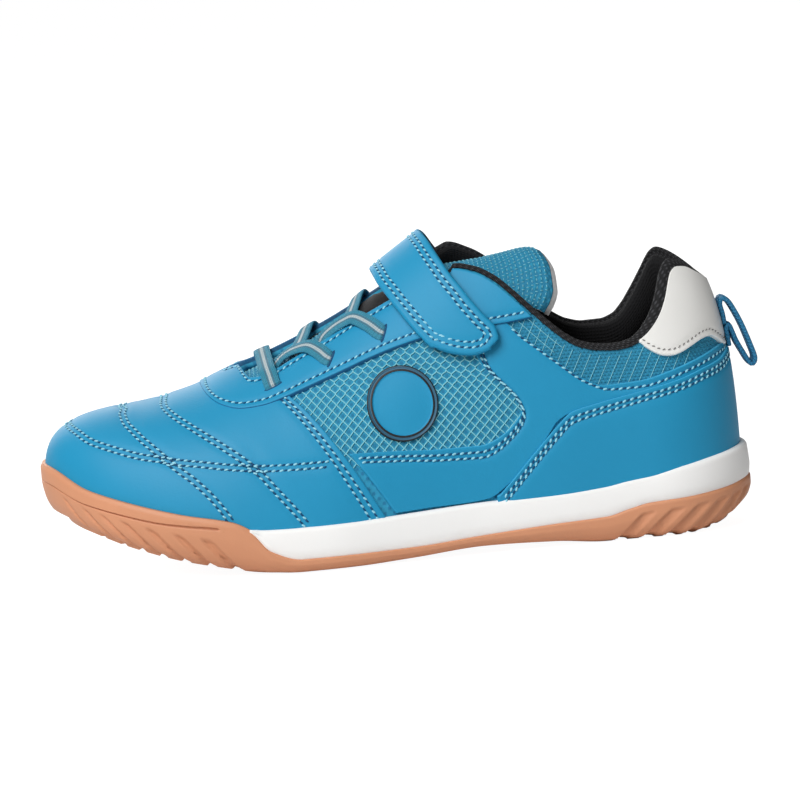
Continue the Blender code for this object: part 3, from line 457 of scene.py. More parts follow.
def upper_point(girth, turn):
    """A point of the upper's outer face. A turn past 1 goes on down the other side."""
    girth, turn = np.broadcast_arrays(np.asarray(girth, float), np.asarray(turn, float))
    girth = wrap(np.where(turn > 1, -girth, girth))
    turn = np.where(turn > 1, 2 - turn, turn)
    foot_station, foot_y = upper_foot(girth)
    spine = np.clip(foot_station, HEEL_SPINE, TOE_SPINE)
    past = np.maximum(np.abs(girth) - TOE_START, 0) / TOE_ARC
    full = mix(by_side(LAST, girth, spine), TIP_FULLNESS, np.sin(past * math.pi / 2) ** 2)
    angle = np.maximum(turn, 0) * math.pi / 2
    out = np.maximum(np.cos(angle), 0) ** (2 / full)
    rise = np.maximum(np.sin(angle), 0) ** (2 / full)
    station = mix(spine, foot_station, out)
    z = mix(read(SOLE, "deck", station) + GAP, read(LAST, "ridge", station), rise)
    return np.stack((HEEL_X - station, mix(read(LAST, "spine", spine), foot_y, out) - CENTRE_Y, z), -1)


GIRTH_STEP = 0.6
TURN_STEP = 0.008
POLE_TURN = 0.03


def normal_at(girth, turn):
    """Outward direction of the upper's face. At the pole of the toe it is read a little lower down."""
    girth, turn = np.broadcast_arrays(np.asarray(girth, float), np.asarray(turn, float))
    at_toe = np.abs(wrap(girth)) > TOE_START - 2
    turn = np.where(at_toe & (turn <= 1), np.minimum(turn, 1 - POLE_TURN), turn)
    turn = np.where(at_toe & (turn > 1), np.maximum(turn, 1 + POLE_TURN), turn)
    turn = np.maximum(turn, TURN_STEP)
    along = upper_point(girth + GIRTH_STEP, turn) - upper_point(girth - GIRTH_STEP, turn)
    up = upper_point(girth, turn + TURN_STEP) - upper_point(girth, turn - TURN_STEP)
    return unit(np.cross(up, along))


def skin(girth, turn, lift):
    """A point at a lift off the upper's outer face."""
    lift = np.asarray(lift, float)
    return upper_point(girth, turn) + normal_at(girth, turn) * lift[..., None]


def on_face(places, lift):
    """Points at a lift off the upper, and the directions off it there, from girths and turns."""
    return skin(*places.T, lift), normal_at(*places.T)


def turn_at(girth, height):
    """Turn at which the upper reaches a height."""
    girth, height = np.broadcast_arrays(np.asarray(girth, float), np.asarray(height, float))
    low, high = np.zeros(girth.shape), np.ones(girth.shape)
    for _ in range(24):
        middle = (low + high) / 2
        below = upper_point(girth, middle)[..., 2] < height
        low, high = np.where(below, middle, low), np.where(below, high, middle)
    return (low + high) / 2


def at_height(girth, height):
    """Girths with the turns at which the upper reaches heights."""
    return np.stack((girth, turn_at(girth, height)), -1)


def top_height(girth):
    """Height of the upper's top edge on the collar and beside the throat."""
    along = np.abs(girth)
    throat = upper_point(girth, np.ones_like(along))[..., 2] - by_side(THROAT, girth, along)
    return np.where(along <= CORNER, by_side(COLLAR, girth, along), throat)


def top_turn(girth):
    """Turn of the upper's top edge: the ridge in front of the throat, else the collar or throat edge."""
    girth = np.asarray(girth, float)
    return np.where(np.abs(girth) >= THROAT_END, 1.0, turn_at(girth, top_height(girth)))


LOOKUP = np.meshgrid(np.arange(0, GIRTH_END, 0.75), np.arange(0.01, 1.001, 0.01), indexing="ij")
LOOKUP_XZ = upper_point(*LOOKUP)[..., (0, 2)].reshape(-1, 2)


def on_lateral(points):
    """Girths and turns of places given as X and Z in side view, on the lateral side."""
    points = np.asarray(points, float)
    nearest = [np.argmin(((LOOKUP_XZ - p) ** 2).sum(1)) for p in points]
    girth, turn = (grid.reshape(-1)[nearest] for grid in LOOKUP)
    for _ in range(8):
        miss = points - upper_point(girth, turn)[:, (0, 2)]
        by_girth = (upper_point(girth + 0.2, turn) - upper_point(girth - 0.2, turn))[:, (0, 2)] / 0.4
        by_turn = (upper_point(girth, turn + 0.002) - upper_point(girth, turn - 0.002))[:, (0, 2)] / 0.004
        det = by_girth[:, 0] * by_turn[:, 1] - by_girth[:, 1] * by_turn[:, 0]
        det = np.where(np.abs(det) < 1.0, np.sign(det) + (det == 0), det)
        girth = girth + np.clip((miss[:, 0] * by_turn[:, 1] - miss[:, 1] * by_turn[:, 0]) / det, -3, 3)
        rise = by_girth[:, 0] * miss[:, 1] - by_girth[:, 1] * miss[:, 0]
        turn = turn + np.clip(rise / det, -0.05, 0.05)
        girth, turn = np.clip(girth, 0, GIRTH_END), np.clip(turn, 0.01, 1)
    return np.stack((girth, turn), -1)


def mirrored(path):
    """A lateral path of girths and turns, carried over to the same heights on the medial side."""
    girth, turn = -path[:, 0], path[:, 1]
    level = turn_at(girth, upper_point(path[:, 0], turn)[:, 2])
    at_toe = np.clip((path[:, 0] - TOE_START + 12) / 12, 0, 1)
    return np.stack((girth, mix(level, turn, at_toe)), -1)


def smooth(points, count, closed=False):
    """A smooth curve through points, read at even distances."""
    points = np.asarray(points, float)
    if closed:
        padded = np.concatenate((points[-1:], points, points[:2]))
    else:
        padded = np.concatenate((2 * points[:1] - points[1:2], points, 2 * points[-1:] - points[-2:-1]))
    dense = []
    for a, b, c, d in zip(padded, padded[1:], padded[2:], padded[3:]):
        t = np.linspace(0, 1, 24, endpoint=False)[:, None]
        dense.append(b + 0.5 * t * (c - a + t * (2 * a - 5 * b + 4 * c - d + t * (3 * (b - c) + d - a))))
    dense.append(points[:1] if closed else points[-1:])
    return evenly(np.concatenate(dense), count)


def distances(points):
    """Distance along a line of points from its first point."""
    return np.concatenate(([0], np.cumsum(np.linalg.norm(np.diff(points, axis=0), axis=1))))


def read_line(at, places, values):
    """Rows of values, given at places along a line, read at other places."""
    return np.stack([np.interp(at, places, values[:, k]) for k in range(values.shape[1])], -1)


def evenly(points, count):
    """Points at even distances along a line of points."""
    along = distances(points)
    return read_line(np.linspace(0, along[-1], count), along, points)


def path_sides(path, normal):
    """Directions across a path and off the surface that it runs on, square to it."""
    forward = unit(np.gradient(path, axis=0))
    wide = unit(np.cross(normal, forward))
    return wide, np.cross(forward, wide)


def surface_uv(along, across):
    """Lengths along and across a swept grid, for the weave on it."""
    return np.stack(np.broadcast_arrays(along[:, None], across[None, :]), -1)


def flat_section(width, thickness, side_power, rise_power):
    """Sideways places and heights of points round a flat band's rounded section."""
    angles = np.linspace(0, 2 * math.pi, 20, endpoint=False)
    side = np.sign(np.cos(angles)) * np.abs(np.cos(angles)) ** side_power * width / 2
    rise = np.sign(np.sin(angles)) * np.abs(np.sin(angles)) ** rise_power * thickness / 2
    return side, rise


def grid_faces(rows, columns, closed_rows=False, closed_columns=False):
    """Faces of a grid of points, counted row by row."""
    i = np.arange(rows if closed_rows else rows - 1)[:, None]
    j = np.arange(columns if closed_columns else columns - 1)[None, :]
    i2, j2 = (i + 1) % rows, (j + 1) % columns
    faces = np.stack((i * columns + j, i * columns + j2, i2 * columns + j2, i2 * columns + j), -1)
    return faces.reshape(-1, 4)


def new_piece(name, points, faces, materials, slot, uv=None, face_material=None, replaces=(), weld=False):
    """A mesh object that rides on the shoe, made from points in millimetres."""
    mesh = bpy.data.meshes.new(name)
    mesh.from_pydata((np.asarray(points).reshape(-1, 3) * MM).tolist(), [], [list(f) for f in faces])
    for material in materials:
        mesh.materials.append(material)
    if face_material is not None:
        mesh.polygons.foreach_set("material_index", np.asarray(face_material, np.int32))
    if uv is not None:
        corners = np.zeros(len(mesh.loops), np.int32)
        mesh.loops.foreach_get("vertex_index", corners)
        layer = mesh.uv_layers.new(name="surface")
        flat = np.asarray(uv).reshape(-1, 2)[corners] * MM
        layer.data.foreach_set("uv", flat.astype(np.float32).ravel())
    mesh.shade_smooth()
    mesh.validate()
    obj = bpy.data.objects.new(name, mesh)
    bpy.context.scene.collection.objects.link(obj)
    face_out(mesh, weld)
    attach(obj, BODY)
    if replaces:
        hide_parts(*replaces)
    return obj


def face_out(mesh, weld):
    """Turn closed bodies outside out, and open surfaces away from the middle of the foot."""
    bm = bmesh.new()
    bm.from_mesh(mesh)
    if weld:
        bmesh.ops.remove_doubles(bm, verts=bm.verts, dist=0.00001)
    bmesh.ops.recalc_face_normals(bm, faces=bm.faces)
    if any(edge.is_boundary for edge in bm.edges):
        facing = 0.0
        for face in bm.faces:
            centre = face.calc_center_median() / MM
            middle = Vector((min(max(centre.x, -FOOT_REACH), FOOT_REACH), 0.0, FOOT_HEIGHT))
            facing += face.calc_area() * face.normal.dot(centre - middle)
        if facing < 0:
            bmesh.ops.reverse_faces(bm, faces=bm.faces)
    bm.to_mesh(mesh)
    bm.free()


def girth_row(pitch):
    """Girths round the whole edge from the heel's back, about a pitch apart."""
    count = round(2 * GIRTH_END / pitch / 2) * 2
    return wrap(np.arange(count) * 2 * GIRTH_END / count)


def distance_to(points, path):
    """Distance from each point to the nearest point of a path."""
    flat = points.reshape(-1, 3)
    near = np.full(len(flat), 1e9)
    for start in range(0, len(flat), 4000):
        part = flat[start:start + 4000, None, :] - path[None, :, :]
        near[start:start + 4000] = np.sqrt((part**2).sum(-1)).min(1)
    return near.reshape(points.shape[:-1])


class Panel:
    """A leather panel on the upper between two edges given as girths and turns."""

    def __init__(self, lower, upper, top, open_edges=(True, True, True, True)):
        """Its edges, the lift of its outer face, and which of its four edges show."""
        self.lower, self.upper = np.asarray(lower, float), np.asarray(upper, float)
        self.top = top
        self.open_edges = open_edges
        self.middle = skin(*((self.lower + self.upper) / 2).T, 0.0)
        self.along = distances(self.middle)
        shares = np.linspace(0, 1, 9)
        across = self.lower[:, None] + (self.upper - self.lower)[:, None] * shares[None, :, None]
        ribs = upper_point(across[..., 0], across[..., 1])
        self.width = np.linalg.norm(np.diff(ribs, axis=1), axis=2).sum(1)
        self.runs = []

    def at(self, along, share):
        """Girths and turns at distances along the panel and shares of its width."""
        low, high = (read_line(along, self.along, edge) for edge in (self.lower, self.upper))
        return mix(low, high, np.asarray(share)[..., None])

    def edge_run(self, edge, inset, start=0.0, stop=1.0):
        """A path along the lower or upper edge, an inset inside it, between two shares of the length."""
        along = np.linspace(start, stop, 240) * self.along[-1]
        share = inset / np.interp(along, self.along, self.width)
        return self.at(along, share if edge == "lower" else 1 - share)

    def end_run(self, end, inset):
        """A path across the panel beside its first or last end."""
        along = inset if end == "first" else self.along[-1] - inset
        return self.at(np.full(80, along), np.linspace(0.0, 1.0, 80))

    def grid(self, pitch):
        """Distances along, shares across, and distance to the nearest open edge, on a grid."""
        length = self.along[-1]
        ends = np.array(EDGE_STEPS)
        along = np.linspace(0, length, max(int(length / pitch), 4) + 1)
        if self.open_edges[0]:
            along = np.concatenate((ends, along[along > ends[-1] + pitch / 3]))
        if self.open_edges[1]:
            along = np.concatenate((along[along < length - ends[-1] - pitch / 3], length - ends[::-1]))
        width = np.interp(along, self.along, self.width)
        inner = np.linspace(0, 1, max(int(self.width.max() / pitch), 3) + 1)
        squeeze = np.minimum(1, width / (2.4 * ends[-1]))
        edge = ends[None, :] * squeeze[:, None] / width[:, None]
        span = inner[None, 1:-1] * (1 - 2 * edge[:, -1:]) + edge[:, -1:]
        share = np.concatenate((edge, span, 1 - edge[:, ::-1]), 1)
        along = np.broadcast_to(along[:, None], share.shape)
        near = np.full(share.shape, 99.0)
        gaps = (along, length - along, share * width[:, None], (1 - share) * width[:, None])
        for gap, is_open in zip(gaps, self.open_edges):
            if is_open:
                near = np.minimum(near, gap)
        return along, share, near, width

    def lift(self, near):
        """Height of the face at a distance from the nearest open edge, rounded over at the edge."""
        left = 1 - np.clip(near / PANEL_ROUND, 0, 1)
        return mix(PANEL_SINK, self.top, np.sqrt(np.maximum(1 - left**2, 0)))

    def build(self, name, pitch, materials, slot, replaces=(), relief=None):
        """The panel's mesh, with a trough along each of its stitch runs."""
        along, share, near, width = self.grid(pitch)
        place = self.at(along, share)
        face = skin(place[..., 0], place[..., 1], self.top)
        lift = self.lift(near)
        for path in self.runs:
            centre = skin(path[:, 0], path[:, 1], self.top)
            lift = lift - SEAM_DEPTH * np.exp(-((distance_to(face, centre) / SEAM_WIDTH) ** 2))
        if relief is not None:
            lift = lift + relief(face)
        front = skin(place[..., 0], place[..., 1], lift)
        back = skin(place[..., 0], place[..., 1], PANEL_SINK - PANEL_BACK)
        uv = np.stack((along, share * width[:, None]), -1).reshape(-1, 2)
        points, faces = boxed(front, back)
        middle = (near[:-1, :-1] + near[1:, :-1] + near[:-1, 1:] + near[1:, 1:]).reshape(-1) / 4
        # Faces near an open edge take the second finish: painted highlight on most panels, painted shadow
        # on the eyestay
        cut = np.zeros(len(faces), int)
        cut[:len(middle)] = middle < PAINTED_EDGE_WIDTH
        obj = new_piece(name, points, faces, materials, slot, np.concatenate((uv, uv)), cut, replaces)
        normals = normal_at(place[..., 0], place[..., 1]).reshape(-1, 3)
        normals[place[..., 1].reshape(-1) < 0.9999] = 0
        obj.data.normals_split_custom_set_from_vertices(np.concatenate((normals, 0 * normals)).tolist())
        return obj


SEAM_DEPTH = 0.3
SEAM_WIDTH = 1.1
EDGE_SEAM = 2.2
ROW_GAP = 1.8
DECOR_GAP = 1.75
TAB_SEAM = 1.9
TAB_TUCK = 0.4
TOE_FLAT = 2 / 3


def past_ridge(path):
    """A medial path, turned round and carried on past the ridge in turns above 1."""
    return np.stack((-path[::-1, 0], 2 - path[::-1, 1]), -1)


def eyestay_panel():
    """Lace stay round the throat, from collar to collar by its front."""
    parts = np.linspace(0, EYESTAY["part"][-1], 260)
    halves = []
    for sign in (1, -1):
        girth = sign * read(EYESTAY, "inner", parts)
        short = np.where(np.abs(girth) >= THROAT_END, EYESTAY_FRONT_INNER - np.abs(girth), 1.0)
        inner = np.stack((girth, top_turn(girth) - EDGE_TURN * short), -1)
        outer_girth = sign * read(EYESTAY, "outer", parts)
        outer = at_height(outer_girth, read(EYESTAY, "height", parts))
        halves.append((outer, inner))
    (outer, inner), (far_outer, far_inner) = halves
    front = np.array([[EYESTAY_FRONT_OUTER, 1.0]]), np.array([[EYESTAY_FRONT_INNER, 1.0]])
    lower = np.concatenate((outer, front[0], past_ridge(far_outer)))
    upper = np.concatenate((inner, front[1], past_ridge(far_inner)))
    panel = Panel(lower, upper, EYESTAY_TOP)
    under_strap = np.interp(STRAP_COVERS, parts, panel.along[:len(parts)]) / panel.along[-1]
    panel.runs = [panel.edge_run("lower", EDGE_SEAM, 0.004, 0.996)]
    panel.runs.append(panel.edge_run("upper", EDGE_SEAM, under_strap, 1 - under_strap))
    return panel


def side_panel(sign):
    """Panel below and behind the mesh window, running back along the collar to the heel."""
    parts = np.linspace(0, SIDE_PANEL["part"][-1], 400)
    girth, upper_girth = (sign * read(SIDE_PANEL, name, parts) for name in ("girth", "upper_girth"))
    lower = at_height(girth, read(SIDE_PANEL, "height", parts))
    upper = at_height(upper_girth, read(SIDE_PANEL, "upper_height", parts))
    panel = Panel(lower, upper, SADDLE_TOP, (False, False, False, True))
    double, single = np.interp(SIDE_SEAMS, parts, panel.along) / panel.along[-1]
    panel.runs = [panel.edge_run("upper", EDGE_SEAM + row * ROW_GAP, *double) for row in (0, 1)]
    panel.runs.append(panel.edge_run("upper", EDGE_SEAM, *single))
    return panel


def about_toe(place):
    """A girth and turn near the toe's pole, laid out flat about the pole."""
    angle = (place[0] - TOE_START) / TOE_ARC * math.pi / 2
    return np.cos(place[1] * math.pi / 2) ** TOE_FLAT * np.array((math.cos(angle), math.sin(angle)))


def lead_in(start, end):
    """Girths and turns from a seam's start on the middle line to its first place, straight over the toe."""
    shares = np.linspace(0, 1, 20)[:-1, None]
    if end[0] < TOE_START:
        return mix(start, end, shares)
    flat = mix(about_toe(start), about_toe(end), shares)
    girth = TOE_START + np.arctan2(flat[:, 1], flat[:, 0]) * TOE_ARC * 2 / math.pi
    turn = np.arccos(np.minimum(np.hypot(*flat.T), 1) ** (1 / TOE_FLAT)) * 2 / math.pi
    return np.stack((girth, turn), -1)


def vamp_panel():
    """Toe panel over the last, from the rim to under the eyestay and the ridge."""
    parts = np.linspace(0, VAMP["part"][-1], 160)
    ridge, tip = np.linspace(VAMP_RIDGE, TOE_START, 30), np.linspace(TOE_START, GIRTH_END, 120)
    fan = np.concatenate((ridge, tip[1:]))
    halves = []
    for sign in (1, -1):
        girth = sign * np.concatenate((read(VAMP, "girth", parts), fan))
        side = sign * read(VAMP, "upper_girth", parts)
        lower = at_height(girth, sole_height("rim", girth) - RIM_TUCK)
        upper = at_height(side, read(VAMP, "upper_height", parts))
        upper = np.concatenate((upper, np.stack((sign * fan, np.ones(len(fan))), -1)))
        halves.append((lower, upper))
    onward = np.array((2 * GIRTH_END, 0.0))
    lower, upper = (np.concatenate((near, far[-2::-1] + onward)) for near, far in zip(*halves))
    panel = Panel(lower, upper, VAMP_TOP, (True, True, False, False))
    insets = (EDGE_SEAM, EDGE_SEAM + ROW_GAP)
    panel.runs = [panel.end_run(end, inset) for end in ("first", "last") for inset in insets]
    for starts, seam in (TOE_SEAM, FRONT_SEAM, REAR_SEAM):
        places = on_lateral(smooth(seam, 160))
        line = upper_point(*places.T)
        across = np.cross(unit(np.gradient(line, axis=0)), normal_at(*places.T))
        for row, start in enumerate(starts):
            near = on_lateral((line + row * DECOR_GAP * across)[:, (0, 2)])
            near = np.concatenate((lead_in(np.array(start), near[0]), near))
            panel.runs += [near, mirrored(near)]
    return panel


def heel_girth(rows):
    """Girths round the heel between the ends of a table."""
    return np.linspace(rows["girth"][-1], -rows["girth"][-1], 260)


def heel_band(girth, low, high, top, open_edges):
    """A panel round the heel between two heights that follow the girth."""
    return Panel(at_height(girth, low), at_height(girth, high), top, open_edges)


def counter_panel():
    """Overlay round the heel, from the rim up, with a double seam."""
    girth = heel_girth(COUNTER)
    low, high = sole_height("rim", girth) - RIM_TUCK, read(COUNTER, "height", np.abs(girth))
    panel = heel_band(girth, low, high, COUNTER_TOP, (False, False, False, True))
    panel.runs = [panel.edge_run("upper", EDGE_SEAM + row * ROW_GAP, 0.01, 0.99) for row in (0, 1)]
    return panel


def heel_tab_panel():
    """Overlay at the top of the heel, up under the collar's binding."""
    girth = heel_girth(HEEL_TAB)
    low, high = read(HEEL_TAB, "height", np.abs(girth)), top_height(girth) + TAB_TUCK
    panel = heel_band(girth, low, high, HEEL_TAB_TOP, (True, True, True, False))
    panel.runs = [panel.edge_run("lower", TAB_SEAM, 0.01, 0.99)]
    return panel


# Finishes

# Roughness, scale of the grain, strength of the relief and drift of tone
FINISHES = {
    "gum_rubber_finish": (0.5, 1500.0, 0.25, 0.08),
    "white_foam_finish": (0.55, 900.0, 0.08, 0.03),
    "footbed_cloth": (0.9, 1400.0, 0.5, 0.15),
    "mesh_backing": (0.75, 1500.0, 0.5, 0.15),
    "lining_cloth": (0.9, 1400.0, 0.5, 0.15),
    "collar_mesh": (0.75, 1500.0, 1.0, 0.2),
    "blue_leather_finish": (0.46, 1500.0, 0.2, 0.05),
    # Painted highlight along the panels' edges, and painted shadow along the lace stay's edge
    "edge_highlight": (0.5, 1500.0, 0.2, 0.05),
    "stay_edge_shadow": (0.6, 1500.0, 0.2, 0.05),
    "white_leather_finish": (0.28, 1300.0, 0.12, 0.03),
    "binding_knit": (0.8, 1500.0, 1.0, 0.2),
    "collar_lining": (0.9, 1500.0, 0.7, 0.15),
    "tongue_mesh": (0.75, 1500.0, 0.8, 0.1),
    "tongue_lining": (0.85, 1400.0, 0.4, 0.08),
    "tongue_thread": (0.6, 1500.0, 0.2, 0.06),
    "tongue_patch": (0.7, 1500.0, 0.6, 0.1),
    "tongue_patch_edge": (0.7, 1500.0, 0.6, 0.1),
    "strap_underside": (0.9, 1500.0, 0.6, 0.1),
    # Painted shadow where the laces go into their holes
    "lace_hole_shadow": (0.8, 1500.0, 0.2, 0.05),
    "webbing_finish": (0.6, 1500.0, 1.0, 0.08),
    "badge_disc": (0.5, 1300.0, 0.2, 0.05),
    "badge_line": (0.45, 1300.0, 0.15, 0.05),
    "badge_band": (0.45, 1300.0, 0.15, 0.05),
    "net_thread": (0.55, 1500.0, 0.2, 0.06),
    "studio_floor_paint": (0.7, 60.0, 0.0, 0.0),
    "lace_weave_finish": (0.65, 1500.0, 0.8, 0.0),
    "pale_stitches_thread": (0.5, 1800.0, 0.3, 0.05),
    # Painted shadow in the needle holes between the stitches
    "dark_stitches_thread": (0.6, 1800.0, 0.3, 0.05),
    "slit_shadows_thread": (0.8, 1800.0, 0.3, 0.05),
}
ROUGHNESS_DRIFT = 0.12
COAT_ROUGHNESS = 0.2
# Depths of the grain and of a weave in metres, and how much of the grain shows on a weave
GRAIN_DEPTH = 0.00012
WEAVE_DEPTH = 0.0004
GRAIN_ON_WEAVE = 0.3
# What darkens the hollows of a striped weave
WEAVE_SHADE = (0.55, 0.62, 0.66, 1.0)


def node_group(name, inputs, outputs):
    """An empty shader node group with named float sockets; returns it with its two end nodes."""
    group = bpy.data.node_groups.new(name, "ShaderNodeTree")
    for socket, value in inputs:
        added = group.interface.new_socket(socket, in_out="INPUT", socket_type="NodeSocketFloat")
        added.default_value = value
    for socket in outputs:
        group.interface.new_socket(socket, in_out="OUTPUT", socket_type="NodeSocketFloat")
    return group, group.nodes.new("NodeGroupInput"), group.nodes.new("NodeGroupOutput")


def add_node(tree, kind, settings=(), **inputs):
    """A node with its settings made and its inputs set to values or linked to sockets."""
    node = tree.nodes.new(kind)
    for name, value in dict(settings).items():
        setattr(node, name, value)
    for name, value in inputs.items():
        key = int(name[1:]) if name[0] == "i" and name[1:].isdigit() else name.replace("_", " ")
        if isinstance(value, bpy.types.NodeSocket):
            tree.links.new(value, node.inputs[key])
        else:
            node.inputs[key].default_value = value
    return node


def arithmetic(tree, operation, *values):
    inputs = {f"i{k}": value for k, value in enumerate(values)}
    return add_node(tree, "ShaderNodeMath", {"operation": operation}, **inputs).outputs[0]


def grain_group():
    """Leather and rubber grain: soft cells with finer noise, and a slow drift of tone."""
    name = "Fine grain"
    if name in bpy.data.node_groups:
        return bpy.data.node_groups[name]
    group, start, end = node_group(name, (("Scale", 1000.0), ("Drift", 40.0)), ("Height", "Tone"))
    place = add_node(group, "ShaderNodeTexCoord").outputs["Object"]
    scale, drift = start.outputs["Scale"], start.outputs["Drift"]
    cells = add_node(group, "ShaderNodeTexVoronoi", {"feature": "SMOOTH_F1"}, Vector=place, Scale=scale)
    noise = add_node(group, "ShaderNodeTexNoise", Vector=place, Scale=scale, Detail=2.0)
    slow = add_node(group, "ShaderNodeTexNoise", Vector=place, Scale=drift, Detail=3.0)
    height = arithmetic(group, "MULTIPLY_ADD", noise.outputs["Fac"], 0.6, cells.outputs["Distance"])
    group.links.new(height, end.inputs["Height"])
    group.links.new(slow.outputs["Fac"], end.inputs["Tone"])
    return group


def weave_group():
    """Crossing rounded threads on the surface's own lengths: their height, tops, and middles of cells."""
    name = "Cloth weave"
    if name in bpy.data.node_groups:
        return bpy.data.node_groups[name]
    inputs = (("Along", 0.001), ("Across", 0.001), ("Lean", 0.0))
    group, start, end = node_group(name, inputs, ("Height", "Mask", "Cell"))
    place = add_node(group, "ShaderNodeTexCoord").outputs["UV"]
    parts = add_node(group, "ShaderNodeSeparateXYZ", Vector=place).outputs
    lean = arithmetic(group, "MULTIPLY_ADD", parts["Y"], start.outputs["Lean"], parts["X"])
    waves = []
    for line, pitch in ((lean, "Along"), (parts["Y"], "Across")):
        turns = arithmetic(group, "DIVIDE", line, start.outputs[pitch])
        waves.append(arithmetic(group, "SINE", arithmetic(group, "MULTIPLY", turns, 2 * math.pi)))
    product = arithmetic(group, "MULTIPLY", *waves)
    over = arithmetic(group, "MAXIMUM", *waves)
    height = arithmetic(group, "MULTIPLY_ADD", product, 0.5, arithmetic(group, "MULTIPLY", over, 0.5))
    group.links.new(height, end.inputs["Height"])
    for value, low, high, socket in ((height, -0.3, 0.5, "Mask"), (product, 0.15, 0.75, "Cell")):
        ramp = add_node(group, "ShaderNodeMapRange", Value=value, From_Min=low, From_Max=high)
        group.links.new(ramp.outputs[0], end.inputs[socket])
    return group


def colour_mix(tree, share, first, second, blend="MIX"):
    """Two colours mixed by a share, as a socket."""
    settings = {"data_type": "RGBA", "blend_type": blend}
    return add_node(tree, "ShaderNodeMix", settings, i0=share, i6=first, i7=second).outputs[2]


def cloth_weave(tree, along, across, lean):
    """The weave's node, from its two pitches in millimetres and its lean."""
    settings = {"node_tree": weave_group()}
    return add_node(tree, "ShaderNodeGroup", settings, Along=along * MM, Across=across * MM, Lean=lean)


def finish(name, colour, weave=None, gaps=None, specks=None, coat=0.0, gloss=0.5):
    """A material: colour with a slow drift of tone, grain or weave as relief, and set gloss.

    A weave is its two pitches and its lean. Gaps colour the hollows between its threads, and specks
    the middles of its cells.
    """
    if name in bpy.data.materials:
        return bpy.data.materials[name]
    rough, grain, relief, tone = FINISHES[name]
    material = bpy.data.materials.new(name)
    material.use_nodes = True
    tree = material.node_tree
    shader = tree.nodes["Principled BSDF"]
    shader.inputs["Coat Weight"].default_value = coat
    shader.inputs["Coat Roughness"].default_value = COAT_ROUGHNESS
    shader.inputs["Specular IOR Level"].default_value = gloss
    fine = add_node(tree, "ShaderNodeGroup", {"node_tree": grain_group()}, Scale=grain)
    dark = (*(c * (1 - tone) for c in colour), 1.0)
    light = (*(min(c * (1 + tone), 1.0) for c in colour), 1.0)
    shade = colour_mix(tree, fine.outputs["Tone"], dark, light)
    height, depth = fine.outputs["Height"], GRAIN_DEPTH
    if weave:
        cloth = cloth_weave(tree, *weave)
        height = arithmetic(tree, "MULTIPLY_ADD", height, GRAIN_ON_WEAVE, cloth.outputs["Height"])
        depth = WEAVE_DEPTH
        if gaps:
            shade = colour_mix(tree, cloth.outputs["Mask"], (*gaps, 1.0), shade)
        if specks:
            shade = colour_mix(tree, cloth.outputs["Cell"], shade, (*specks, 1.0))
    tree.links.new(shade, shader.inputs["Base Color"])
    dull = arithmetic(tree, "MULTIPLY_ADD", fine.outputs["Tone"], ROUGHNESS_DRIFT, rough)
    tree.links.new(dull, shader.inputs["Roughness"])
    bump = add_node(tree, "ShaderNodeBump", Strength=relief, Distance=depth, Height=height)
    tree.links.new(bump.outputs["Normal"], shader.inputs["Normal"])
    return material


def striped_finish(name, stripes, weave, width):
    """A woven band with stripes along it, placed by shares of its width."""
    if name in bpy.data.materials:
        return bpy.data.materials[name]
    material = finish(name, (0.5, 0.5, 0.5), weave)
    tree = material.node_tree
    place = add_node(tree, "ShaderNodeTexCoord").outputs["UV"]
    across = add_node(tree, "ShaderNodeSeparateXYZ", Vector=place).outputs["Y"]
    ramp = add_node(tree, "ShaderNodeValToRGB", Fac=arithmetic(tree, "DIVIDE", across, width * MM))
    band = ramp.color_ramp
    while len(band.elements) < len(stripes):
        band.elements.new(0.5)
    for element, (position, colour) in zip(band.elements, stripes):
        element.position = position
        element.color = (*colour, 1.0)
    shade = colour_mix(tree, 1.0, ramp.outputs["Color"], WEAVE_SHADE, "MULTIPLY")
    colour = colour_mix(tree, cloth_weave(tree, *weave).outputs["Mask"], shade, ramp.outputs["Color"])
    tree.links.new(colour, tree.nodes["Principled BSDF"].inputs["Base Color"])
    return material


# Sole

RIM_TUCK = 1.2
# Side of the foam rim: how far it is drawn in, and share of its height
RIM_SIDE = ((0.25, 0.1), (0.0, 0.35), (0.25, 0.65))
# Slanted grooves of the rubber: the girth at which each would meet the floor, and half its width
TOE_RIBS = ((180.6, 1.4), (187.9, 1.1), (195.0, 0.95), (201.0, 0.8),
            (206.4, 0.65), (211.4, 0.55), (217.6, 0.5))
HEEL_RIBS = ((58.8, 2.0), (50.2, 2.0), (42.9, 1.9), (36.4, 1.8), (30.6, 1.7), (25.2, 1.6))
TOE_RIB_LEAN = 0.78
TOE_RIB_TOP = 0.57
HEEL_RIB_TOP = 0.73
RIB_REACH = 9.0
# Line along the bumper: its drop below the rubber's top, and half its width
BUMPER_LINE = table(
    "girth drop half",
    (187, 2.8, 0.42), (197, 3.3, 0.38), (207, 4, 0.32), (224, 4.3, 0.24), (243, 5, 0.18),
    (261, 5.2, 0.16),
)
LINE_DEPTH = 0.8
LINE_START = 187.0
OUTSOLE_BASE = 4.2
TREAD_WIDTH = 2.4
TREAD_MARGIN = 11.0
TREAD_STATIONS = np.concatenate((np.linspace(16, 48, 5), np.linspace(118, 190, 9)))
# Side of the rubber from the underside up: share of height, and how far it is drawn in
OUTSOLE_SIDE = table(
    "share inset",
    (0.00, 7), (0.06, 4.6), (0.15, 2.6), (0.42, 0.7), (0.70, 0), (0.92, 0), (1.00, 0.6),
)


def window(value, low, high, soft):
    """1 between two values, falling softly to 0 outside them."""
    return np.clip((value - low) / soft + 0.5, 0, 1) * np.clip((high - value) / soft + 0.5, 0, 1)


def ribs_at(place, rows):
    """Depth of a set of slanted grooves as shares, steeper on the side of the larger girths."""
    cuts = []
    for centre, half in rows:
        slope = np.clip(0.75 + 0.25 * (place - centre) / half, 0, 1)
        cuts.append(window(place, centre - half, centre + half, 0.5) * slope)
    return np.max(cuts, axis=0)


